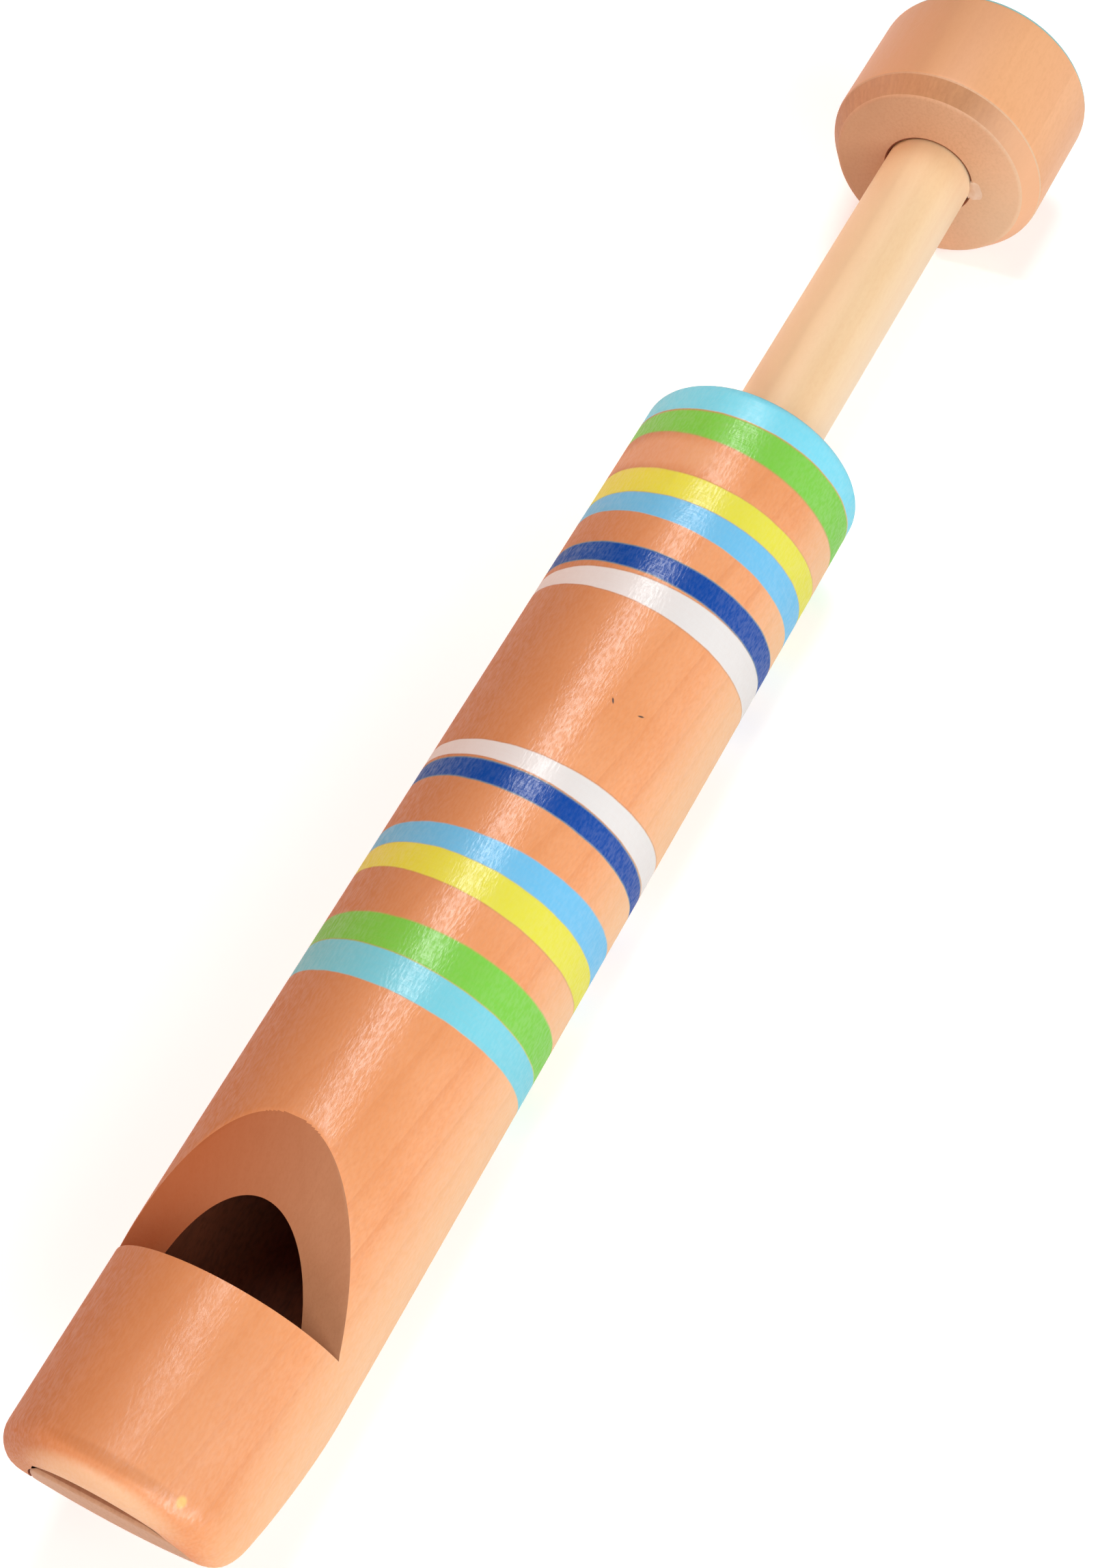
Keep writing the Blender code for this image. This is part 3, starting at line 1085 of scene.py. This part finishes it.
@dataclass
class FippleBlock:
    """The plug glued into the mouth, flat on top and sanded flush with the beak."""

    mouth: Mouthpiece
    length: float = 19.9
    floor: float = 5.75
    fit: float = 0.03
    soften: float = 0.35
    front_round: float = 0.4
    flare: float = 0.9
    flare_length: float = 5.0
    floor_depth: float = 0.12
    worn_edge: float = 0.3
    edge_count: int = 9
    row_count: int = 48
    face_count: int = 7
    sides: int = 160

    def windway_floor(self, x: Array) -> Array:
        """Height of the flat on top: it drops towards the mouth by a parabola, so that the slit opens."""
        return self.floor - self.flare * np.square(np.clip(1.0 - x / self.flare_length, 0.0, 1.0))

    def section(self, x: Array, turn: Array) -> Array:
        """Points of a section: the nearest of the windway's flat, the bore and the beak, with eased corners.

        Args:
            x: Places along the block.
            turn: Angles from straight up, about the section's middle.

        Returns:
            Points on a grid.
        """
        low = np.maximum(self.mouth.rise(x), -self.mouth.bore)
        mid = 0.5 * (low + self.floor)
        ease = edge_inset(x, self.front_round) + self.fit
        flat = flat_reach(self.windway_floor(x) - ease - mid, turn)
        bore = self.mouth.round_reach(self.mouth.bore - ease, mid, turn)
        beak = self.mouth.beak_reach(x, turn, mid)
        reach = smooth_min(smooth_min(flat, bore, self.soften), beak, self.soften)
        return np.stack([x, reach * np.sin(turn), mid + reach * np.cos(turn)], axis=-1)

    def windway_in_shade(self, grid: Array) -> Array:
        """Which faces get painted shade: the windway's floor behind the worn front edge, under the lip.

        Args:
            grid: Points of the block.

        Returns:
            True for each stained face.
        """
        middle = face_middles(closed_on_itself(grid))
        x, height = middle[..., 0], middle[..., 2]
        return (x > self.worn_edge) & (height > self.windway_floor(x) - self.floor_depth)

    def build(self, datum: Datum, finishes: Sequence[Material]) -> None:
        """Loft the sections, close both ends on their middles, and seat the block.

        Args:
            datum: Where the whistle stands.
            finishes: Finishes of the block, in the order of BlockFace.
        """
        edge = self.mouth.beak_edge
        rows = np.concatenate([edge_rows(0.0, 1.0, edge, self.edge_count),
                               np.linspace(edge, self.length, self.row_count)[1:]])
        turn = np.linspace(0.0, FULL_TURN, self.sides, endpoint=False)
        skin = self.section(*np.meshgrid(rows, turn, indexing="ij"))
        step = np.linspace(0.0, 1.0, self.face_count)[:, None, None]
        front = skin[0].mean(axis=0) + (skin[0] - skin[0].mean(axis=0)) * step
        back = skin[-1].mean(axis=0) + (skin[-1] - skin[-1].mean(axis=0)) * step[::-1]
        grid = np.concatenate([front[:-1], skin, back[1:]])
        faces = np.where(self.windway_in_shade(grid), BlockFace.WINDWAY, BlockFace.SANDED)
        piece = make_piece("fipple_block_sanded", [Patch(grid, faces, True)], finishes, datum)
        seat(piece, Body.WHISTLE, "fipple_block")


@dataclass
class GuideBush:
    """The ring glued into the tail, which guides the rod and stops the piston."""

    start: float = 119.4
    end: float = 127.4
    recess: float = 0.05
    outer: float = 8.72
    inner: float = 5.55
    rounds: tuple[float, ...] = (0.0, 0.1, 0.5, 0.4, 0.4, 0.0)
    sides: int = 128

    def build(self, datum: Datum, finish: Material) -> None:
        """Turn the ring with eased edges and seat it.

        Args:
            datum: Where the whistle stands.
            finish: Finish of the ring.
        """
        middle = 0.5 * (self.start + self.end)
        end = self.end - self.recess
        corners = [(middle, self.outer), (end, self.outer), (end, self.inner),
                   (self.start, self.inner), (self.start, self.outer), (middle, self.outer)]
        grid = turned(rounded_profile(corners, self.rounds), self.sides)
        piece = make_piece("guide_bush_turned", [Patch(grid, 0, True)], [finish], datum)
        seat(piece, Body.WHISTLE, "guide_bush")


@dataclass
class Plunger:
    """Rod, piston head, rubber ring, pull knob and the glue at the knob."""

    rod_radius: float = 5.2
    spigot_radius: float = 3.0
    spigot_at: float = 111.4
    shoulder_at: float = 117.4
    rod_end: float = 184.9
    rod_rounds: tuple[float, ...] = (0.0, 0.3, 0.15, 0.4, 0.5, 0.0)
    head_at: float = 110.4
    head_radius: float = 8.35
    head_bore: float = 3.3
    head_seam: float = 5.0
    head_rounds: tuple[float, ...] = (0.0, 0.3, 0.2, 0.2, 0.2, 0.2, 0.3, 0.15, 0.15, 0.0)
    groove: Triple = (113.9, 1.4, 5.95)
    seal_at: float = 113.9
    seal_ring: float = 7.35
    seal_section: float = 1.2
    seal_count: int = 41
    knob_at: float = 174.4
    knob_end: float = 190.9
    knob_radius: float = 12.97
    knob_face: float = 11.4
    knob_rounds: tuple[float, ...] = (0.0, 0.3, 0.22, 0.35, 0.35, 1.0, 0.0)
    chamfer: float = 2.4
    edge_line: float = 0.2
    rim_paint: float = 0.75
    socket_radius: float = 5.3
    socket_end: float = 185.4
    socket_edge: float = 0.2
    glue_turn: float = math.radians(97.0)
    glue_reach: float = 5.95
    glue_half: Pair = (0.95, 1.7)
    glue_height: float = 0.09
    glue_sunk: Pair = (0.01, 0.1)
    glue_swells: tuple[Triple, ...] = ((0.12, 3.0, 0.7), (0.06, 5.0, 0.0))
    glue_rings: int = 12
    glue_sides: int = 72
    sides: int = 160

    def rod_profile(self) -> Array:
        """The dowel with its turned spigot, closed on the axis at both ends.

        Returns:
            (x, radius) rows.
        """
        corners = [(self.spigot_at, 0.0), (self.spigot_at, self.spigot_radius),
                   (self.shoulder_at, self.spigot_radius), (self.shoulder_at, self.rod_radius),
                   (self.rod_end, self.rod_radius), (self.rod_end, 0.0)]
        return rounded_profile(corners, self.rod_rounds)

    def head_profile(self) -> Array:
        """The grooved disc: a closed line round its section.

        Returns:
            (x, radius) rows.
        """
        at, half_width, floor = self.groove
        start, end, outer = self.head_at, self.shoulder_at, self.head_radius
        corners = [(start, self.head_seam), (start, outer), (at - half_width, outer),
                   (at - half_width, floor), (at + half_width, floor), (at + half_width, outer),
                   (end, outer), (end, self.head_bore), (start, self.head_bore), (start, self.head_seam)]
        return rounded_profile(corners, self.head_rounds)

    def knob_profile(self) -> Array:
        """The knob: blind socket, face, chamfer, side, rounded rim and end.

        Returns:
            (x, radius) rows.
        """
        corners = [(self.socket_end, 0.0), (self.socket_end, self.socket_radius),
                   (self.knob_at, self.socket_radius), (self.knob_at, self.knob_face),
                   (self.knob_at + self.chamfer, self.knob_radius),
                   (self.knob_end, self.knob_radius), (self.knob_end, 0.0)]
        return rounded_profile(corners, self.knob_rounds)

    def seal_profile(self) -> Array:
        """The ring's round section, carried round the axis.

        Returns:
            (x, radius) rows.
        """
        turn = np.linspace(0.0, FULL_TURN, self.seal_count)
        return np.stack([self.seal_at + self.seal_section * np.cos(turn),
                         self.seal_ring + self.seal_section * np.sin(turn)], axis=-1)

    def knob_faces(self, profile: Array) -> Array:
        """The finish of each face of the knob, by where the middle of its step of the profile lies.

        Args:
            profile: The knob's (x, radius) rows.

        Returns:
            A material slot for each face.
        """
        x, reach = (0.5 * (profile[1:] + profile[:-1])).T
        turned_off = (x > self.knob_at + self.edge_line) & (x < self.knob_at + self.chamfer - self.edge_line)
        places = [x > self.knob_end - self.rim_paint, reach < self.socket_radius + self.socket_edge,
                  turned_off, x < self.knob_at + self.chamfer]
        faces = [KnobFace.PAINTED, KnobFace.SOCKET, KnobFace.CHAMFER, KnobFace.END_GRAIN]
        return np.repeat(np.select(places, faces, KnobFace.SIDE), self.sides)

    def glue_grid(self) -> Array:
        """The glue that was smeared on the face beside the rod: a low lens with an uneven outline.

        Rings of the lens run from its middle to its rim, whose distance swells by two sines of the angle
        round it; the height falls as (1 - share squared) squared. A sunk floor closes it below the face.

        Returns:
            Points on a grid that closes on itself.
        """
        angle = np.linspace(0.0, FULL_TURN, self.glue_sides, endpoint=False)[None, :]
        share = np.linspace(0.0, 1.0, self.glue_rings)[:, None]
        swell = 1.0 + sum(size * np.sin(count * angle + phase) for size, count, phase in self.glue_swells)
        reach = self.glue_reach + self.glue_half[0] * share * swell * np.cos(angle)
        turn = self.glue_turn + self.glue_half[1] / self.glue_reach * share * swell * np.sin(angle)
        crown = self.glue_height * (1.0 - share ** 2) ** 2
        top = np.broadcast_to(self.knob_at - crown + self.glue_sunk[0], reach.shape)
        under = np.full_like(reach, self.knob_at + self.glue_sunk[1])
        x = np.concatenate([top, under[::-1]])
        reach = np.concatenate([reach, reach[::-1]])
        turn = np.concatenate([turn, turn[::-1]])
        return np.stack([x, -reach * np.sin(turn), reach * np.cos(turn)], axis=-1)

    def build(self, datum: Datum, rod: Material, knob: Sequence[Material], seal: Material,
              glue: Material) -> None:
        """Turn each piece, lay the glue, and seat them on the moving bodies.

        Args:
            datum: Where the whistle stands.
            rod: Finish of the rod and the head.
            knob: Finishes of the knob, in the order of KnobFace.
            seal: Finish of the rubber ring.
            glue: Finish of the glue.
        """
        knob_line = self.knob_profile()
        plan = (("piston_rod_dowel", self.rod_profile(), 0, [rod], Body.PLUNGER, "rod_wood", "piston_rod"),
                ("piston_head_turned", self.head_profile(), 0, [rod], Body.PLUNGER, "head_wood",
                 "piston_head"),
                ("piston_seal_ring", self.seal_profile(), 0, [seal], Body.SEAL, "seal_rubber",
                 "piston_seal"),
                ("pull_knob_turned", knob_line, self.knob_faces(knob_line), knob, Body.PLUNGER, "knob_wood",
                 "pull_knob"))
        for name, profile, faces, finishes, body, slot, node in plan:
            piece = make_piece(name, [Patch(turned(profile, self.sides), faces, True)], finishes, datum)
            seat(piece, body, node)
        smear = make_piece("knob_glue_smear", [Patch(self.glue_grid(), 0, True)], [glue], datum)
        seat(smear, Body.PLUNGER)


@dataclass(frozen=True)
class Softbox:
    """A rectangular studio light: its place, aim, size, brightness, colour and beam."""

    name: str
    place: Triple
    aim: Triple
    size: Pair
    brightness: float
    colour: str = "#FFFFFF"
    beam: float = math.pi

    def build(self) -> None:
        """Hang the light: its power is brightness times pi times area, and a grid may narrow its beam."""
        lamp = bpy.data.lights.new(self.name, "AREA")
        lamp.shape = "RECTANGLE"
        lamp.size, lamp.size_y = self.size
        lamp.energy = self.brightness * math.pi * self.size[0] * self.size[1]
        lamp.color = linear(self.colour)[:3]
        lamp.spread = self.beam
        stand = bpy.data.objects.new(self.name, lamp)
        aim = (Vector(self.aim) - Vector(self.place)).to_track_quat("-Z", "Y")
        stand.matrix_world = Matrix.Translation(self.place) @ aim.to_matrix().to_4x4()
        bpy.context.scene.collection.objects.link(stand)


@dataclass(frozen=True)
class Studio:
    """A white table under a dim ceiling, lit by softboxes."""

    fill: float = 0.05
    ceiling: float = 0.2
    ceiling_from: Pair = (0.3, 0.6)
    floor_half: float = 3.0
    floor_colour: str = "#EDEDED"
    floor_lift: float = 0.46
    floor_fade: Pair = (0.28, 0.60)
    boxes: tuple[Softbox, ...] = (
        Softbox("overhead_box", (0.57, 0.0, 1.20), (0.0, 0.0, 0.0), (0.41, 0.61), 8.2),
        Softbox("mouth_box", (0.18, 0.0, 1.25), (-0.05, 0.0, 0.0), (0.34, 0.61), 2.5),
        Softbox("key_window", (-0.40, -0.70, 0.46), (0.0, 0.0, 0.012), (0.8, 0.6), 4.7, "#F8FDFF"),
        Softbox("front_window", (-0.75, 0.10, 0.34), (-0.03, 0.0, 0.012), (0.7, 0.35), 1.4, "#FFF8F0"),
        Softbox("warm_card", (-0.36, 0.72, 0.42), (0.0, 0.0, 0.015), (0.9, 0.6), 1.85, "#FF9444"),
        Softbox("back_grid", (0.055, 0.50, 0.25), (0.055, 0.0, 0.012), (0.06, 0.2), 0.40, "#FFF8F2",
                math.radians(10.0)),
    )

    def seen(self, tree: Tree) -> Socket:
        """Tell the rays that show the background: camera, mirror and clear rays.

        Args:
            tree: The node tree of a material or the world.

        Returns:
            1 for such a ray and 0 for others.
        """
        path = add_node(tree, "LightPath").node.outputs
        either = add_node(tree, "Math", {
            0: path["Is Camera Ray"], 1: path["Is Glossy Ray"]}, operation="MAXIMUM")
        return add_node(tree, "Math", {0: either, 1: path["Is Transmission Ray"]}, operation="MAXIMUM")

    def sky(self) -> None:
        """A plain world: white near the horizon, dim overhead where it shows or mirrors, and a soft fill."""
        world = bpy.data.worlds.new("studio_tent")
        bpy.context.scene.world = world
        world.use_nodes = True
        tree = world.node_tree
        tree.nodes.clear()
        way = add_node(tree, "TexCoord").node.outputs["Generated"]
        up = add_node(tree, "SeparateXYZ", {0: way}).node.outputs["Z"]
        shown = add_node(tree, "MapRange", {
            "Value": up, "From Min": self.ceiling_from[0], "From Max": self.ceiling_from[1],
            "To Min": 1.0, "To Max": self.ceiling}, interpolation_type="SMOOTHSTEP")
        strength = add_node(tree, "MapRange", {
            "Value": self.seen(tree), "To Min": self.fill, "To Max": shown})
        back = add_node(tree, "Background", {"Color": linear("#FFFFFF"), "Strength": strength})
        add_node(tree, "OutputWorld", {"Surface": back})

    def paper(self, tree: Tree) -> Socket:
        """Matt white paper: it keeps the shadow, and fades to plain white further out where it is seen.

        Args:
            tree: The material's node tree.

        Returns:
            The shader.
        """
        seen = self.seen(tree)
        matt = add_node(tree, "BsdfDiffuse", {"Color": linear(self.floor_colour)})
        lift = add_node(tree, "Math", {0: seen, 1: self.floor_lift}, operation="MULTIPLY")
        near = add_node(tree, "AddShader", {0: matt, 1: add_node(tree, "Emission", {"Strength": lift})})
        spot = add_node(tree, "TexCoord").node.outputs["Object"]
        away = add_node(tree, "VectorMath", {0: spot}, operation="LENGTH")
        far = add_node(tree, "MapRange", {
            "Value": away, "From Min": self.floor_fade[0], "From Max": self.floor_fade[1]},
            interpolation_type="SMOOTHSTEP")
        share = add_node(tree, "Math", {0: seen, 1: far}, operation="MULTIPLY")
        white = add_node(tree, "Emission", {"Strength": 1.0})
        return add_node(tree, "MixShader", {0: share, 1: near, 2: white})

    def table(self) -> None:
        """The table's flat top."""
        side = np.array([-self.floor_half, self.floor_half])
        x, y = np.meshgrid(side, side, indexing="ij")
        mesh = bpy.data.meshes.new("table")
        mesh.from_pydata(np.stack([x, y, 0.0 * x], axis=-1).reshape(-1, 3), [], [(0, 2, 3, 1)])
        mesh.materials.append(make_material("white_table_paper", self.paper))
        table = bpy.data.objects.new("table", mesh)
        bpy.context.scene.collection.objects.link(table)

    def build(self) -> None:
        """Set up the table, the world and the lights, and the plain view of colours."""
        self.table()
        self.sky()
        for box in self.boxes:
            box.build()
        bpy.context.scene.view_settings.view_transform = "Standard"


@dataclass(frozen=True)
class PhotoCamera:
    """The photograph's viewpoint: eye in millimetres of the row frame, heading, dip and roll in degrees."""

    eye: Triple = (-123.722, -89.593, 221.491)
    heading: float = 39.378
    dip: float = 55.596
    roll: float = -13.657
    lens: float = 57.848
    sensor: float = 36.0
    clip_start: float = 0.01

    def build(self) -> None:
        """Make the camera: turn its right and up about the view by the roll."""
        heading, dip, roll = (math.radians(angle) for angle in (self.heading, self.dip, self.roll))
        flat = Vector((math.cos(heading), math.sin(heading), 0.0))
        ahead = flat * math.cos(dip) - Vector((0.0, 0.0, math.sin(dip)))
        level = Vector((math.sin(heading), -math.cos(heading), 0.0))
        upright = level.cross(ahead)
        right = level * math.cos(roll) + upright * math.sin(roll)
        up = right.cross(ahead)
        lens = bpy.data.cameras.new("photo_camera")
        lens.lens = self.lens
        lens.sensor_width = self.sensor
        lens.clip_start = self.clip_start
        camera = bpy.data.objects.new("photo_camera", lens)
        turn = Matrix((right, up, -ahead)).transposed().to_4x4()
        camera.matrix_world = Matrix.Translation(Vector(self.eye) * MM) @ turn
        bpy.context.scene.collection.objects.link(camera)
        bpy.context.scene.camera = camera


@dataclass(frozen=True)
class Finishes:
    """Every finish on the whistle."""

    # Lacquered barrel: warm orange wood, rings, scratches, a pale lip; painted shade browns one side.
    lacquered: LacqueredTimber = LacqueredTimber(
        "lacquered_schima_wood", "#F2A674", "#DF8C58", "#E6935B", "#CC7847",
        ring_mm=3.4, ring_from=0.7, ring_share=0.34, streak_share=0.14, fleck_mm=0.24, fleck_share=0.14,
        pith_mm=(-26.0, -31.0), lean=(-0.12, 0.08), roughness=0.28, relief_mm=0.036,
        # Painted shade browns one side of the barrel and painted light pales the other.
        side_shades=(SideShade("#C98557", 0.95, -70.0, 0.0, 9.6), SideShade("#FBD2A6", 0.65, 110.0, 7.2, 11.9)),
        marks_and_painted_light=(
            MarkOrPaintedLight(87.0, 24.0, 0.66, 0.12, 32.0, "#33333D", 0.95),
            MarkOrPaintedLight(87.3, 38.5, 0.12, 0.44, 32.0, "#403A3A", 0.95),
            # Painted shade: a broad, faint darker patch over the mouthpiece.
            MarkOrPaintedLight(9.0, 28.0, 13.0, 10.0, 0.0, "#DE9568", 0.35),
            # Painted light: a broad, faint paler patch on one side of the tail.
            MarkOrPaintedLight(117.0, -25.0, 3.2, 11.0, 0.0, "#F4BC92", 0.45),
            MarkOrPaintedLight(2.6, 41.0, 0.70, 0.60, 0.0, "#FFC873", 0.9),
            # Painted shade: a faint darker line where the lip begins to round.
            MarkOrPaintedLight(2.5, 8.0, 0.8, 10.0, 0.0, "#B87040", 0.3),
            # A pale band on the lip: partly worn wood and partly painted highlight.
            MarkOrPaintedLight(0.0, 8.0, 1.7, 11.0, 0.0, "#F6D2AA", 0.65)),
        rings=(
            PaintedRing(49.95, 53.20, Paint.CYAN, (-0.013, 0.007), (-0.003, 0.031)),
            PaintedRing(53.24, 56.50, Paint.GREEN, (-0.003, 0.031), (-0.047, 0.054), 0.16),
            PaintedRing(61.75, 64.67, Paint.YELLOW, (0.022, 0.020), (-0.014, 0.047), 0.12,
                        Paint.STAIN, 0.11),
            PaintedRing(64.67, 67.65, Paint.SKY, (-0.014, 0.047), (-0.059, 0.027), 0.12),
            PaintedRing(73.25, 75.25, Paint.NAVY, (0.0, 0.008), (-0.012, 0.033), 0.09,
                        Paint.TEAL, 0.14, 0.8),
            PaintedRing(75.80, 78.30, Paint.WHITE, (0.007, 0.016), (-0.044, -0.016), 0.09, Paint.STAIN),
            PaintedRing(98.60, 101.35, Paint.WHITE, (0.025, -0.042), (-0.055, -0.033), 0.09, Paint.STAIN),
            PaintedRing(102.05, 104.60, Paint.NAVY, (-0.009, -0.035), (-0.029, -0.039), 0.09,
                        Paint.TEAL, 0.14, 0.8),
            PaintedRing(108.75, 111.70, Paint.SKY, (0.015, -0.036), (-0.030, -0.038)),
            PaintedRing(111.70, 115.40, Paint.YELLOW, (-0.030, -0.038), (0.007, -0.079), 0.12,
                        Paint.STAIN, 0.10, 0.4),
            PaintedRing(120.32, 123.67, Paint.GREEN, (0.039, -0.067), (-0.026, -0.053), 0.18,
                        Paint.STAIN, 0.10),
            PaintedRing(123.91, 126.95, Paint.AQUA, (-0.019, -0.059))))
    # Saw cuts and the tail's end: dull brown end grain, redder and darker on one side by painted shade.
    cut: Timber = Timber(
        "sawn_schima_wood", "#B8805C", "#A86D48", "#AF744D", "#98603C",
        ring_share=0.10, streak_share=0.15, fleck_mm=0.22, fleck_share=0.12, ray_share=0.15, roughness=0.62,
        side_shades=(SideShade("#A64F1C", 0.75, -70.0, -2.0, 10.0),))
    # Drilled bore: rough and matt; its dark brown is partly its own and partly painted shade in the hollow.
    bore: Timber = Timber(
        "drilled_bore_wood", "#8F4A2A", "#6E3620", "#7E4025", "#472012", roughness=0.75, relief_mm=0.04)
    # Sanded block: pale and matt, with painted shade browning its windway floor under the lip.
    block: Timber = Timber(
        "sanded_block_wood", "#CB9C78", "#B5805B", "#C08E6A", "#A67450",
        pith_mm=(-12.0, 26.0), roughness=0.55)
    windway: Timber = Timber(
        "windway_painted_shade_wood", "#B07756", "#9A6142", "#A56A48", "#885236",
        pith_mm=(-12.0, 26.0), roughness=0.6)
    # Turned bush: matt end grain with fine rays.
    bush: Timber = Timber(
        "turned_bush_wood", "#D9A077", "#BC7C50", "#CB8E62", "#A86E45",
        ray_share=0.3, pith_mm=(21.0, 14.0), roughness=0.6)
    # Planed birch dowel: pale cream with soft straight grain.
    rod: Timber = Timber(
        "birch_dowel", "#F3D0A4", "#E9B787", "#EFC798", "#DDA878",
        ring_mm=3.0, ring_share=0.25, streak_mm=1.0, streak_share=0.3, fleck_share=0.10,
        pith_mm=(9.0, -24.0), roughness=0.48,
        # Painted shade darkens one side of the rod and painted light pales the other.
        side_shades=(SideShade("#E2C298", 0.9, -70.0, -0.9, 2.6), SideShade("#F8DFC0", 0.6, 110.0, 2.0, 5.0)))
    # Sanded knob: peach-coloured and satin along its side, duller on its end grain, brown on its chamfer.
    knob_side: Timber = Timber(
        "sanded_schima_knob", "#F3B482", "#E39D6B", "#EAA673", "#D28E60",
        ring_mm=5.0, ring_from=0.0, ring_share=0.25, streak_share=0.16, fleck_share=0.14,
        # Painted shade browns one side of the knob.
        pith_mm=(-18.0, 25.0), roughness=0.46, side_shades=(SideShade("#D39C70", 0.9, -70.0, -2.3, 6.5),))
    knob_face: Timber = Timber(
        "end_grain_schima", "#DDB08C", "#D2A27E", "#D7A783", "#BE8E6B",
        ring_mm=5.0, ring_share=0.12, streak_share=0.15, fleck_share=0.3, ray_share=0.1,
        pith_mm=(-18.0, 25.0), roughness=0.55,
        # Painted shade darkens one side of the face, beside the rod, and painted light pales the other.
        side_shades=(SideShade("#B88861", 0.6, -70.0, 0.0, 9.0), SideShade("#EEC7A2", 0.6, 110.0, 2.0, 10.0)))
    chamfer: Timber = Timber(
        "turned_chamfer_schima", "#C08B60", "#AE784E", "#B68054", "#9A6542",
        ring_share=0.1, streak_share=0.15, fleck_share=0.2, ray_share=0.3, pith_mm=(-18.0, 25.0),
        # Painted light pales one side of the chamfer.
        roughness=0.55, side_shades=(SideShade("#F2B68A", 0.9, 110.0, 0.0, 10.0),))
    # Enamel brushed on the knob's flat end: thin and thick strokes of one teal, smooth and slightly shiny.
    enamel: Coating = Coating(
        "brushed_teal_enamel", "#62B4B4", "#82C6BE", cloud_mm=0.6, relief=0.6, relief_mm=0.03,
        roughness=0.34, ior=1.5, stroke_run=0.08, stroke_turn=0.5)
    # Moulded black rubber: a dull, even dark with a trace of mould bloom.
    rubber: Coating = Coating(
        "moulded_nitrile_rubber", "#1B1B1C", "#3A3A3B", cloud_mm=0.8, relief=0.4, relief_mm=0.02,
        roughness=0.62, ior=1.52)
    # Dried white wood glue: a milky, slightly shiny film with clear patches.
    glue: Coating = Coating(
        "dried_wood_glue", "#D8AC8B", "#EAD2BE", cloud_mm=0.7, relief=0.5, relief_mm=0.05,
        roughness=0.35, ior=1.47)


def main() -> None:
    """Load the frame, build each sub-assembly in order, and set up the studio and the camera."""
    logging.basicConfig(level=logging.INFO, format="%(name)s: %(message)s")
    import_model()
    datum = Datum.of_barrel()
    finishes = Finishes()
    mouth = Mouthpiece()
    Barrel(mouth).build(datum, [finishes.lacquered.material(datum), finishes.cut.material(datum),
                                finishes.bore.material(datum)])
    FippleBlock(mouth).build(datum, [finishes.block.material(datum), finishes.windway.material(datum)])
    GuideBush().build(datum, finishes.bush.material(datum))
    knob = [finishes.knob_side.material(datum), finishes.knob_face.material(datum),
            finishes.bore.material(datum), finishes.enamel.material(), finishes.chamfer.material(datum)]
    Plunger().build(datum, finishes.rod.material(datum), knob, finishes.rubber.material(),
                    finishes.glue.material())
    Studio().build()
    PhotoCamera().build()


if __name__ == "__main__":
    main()
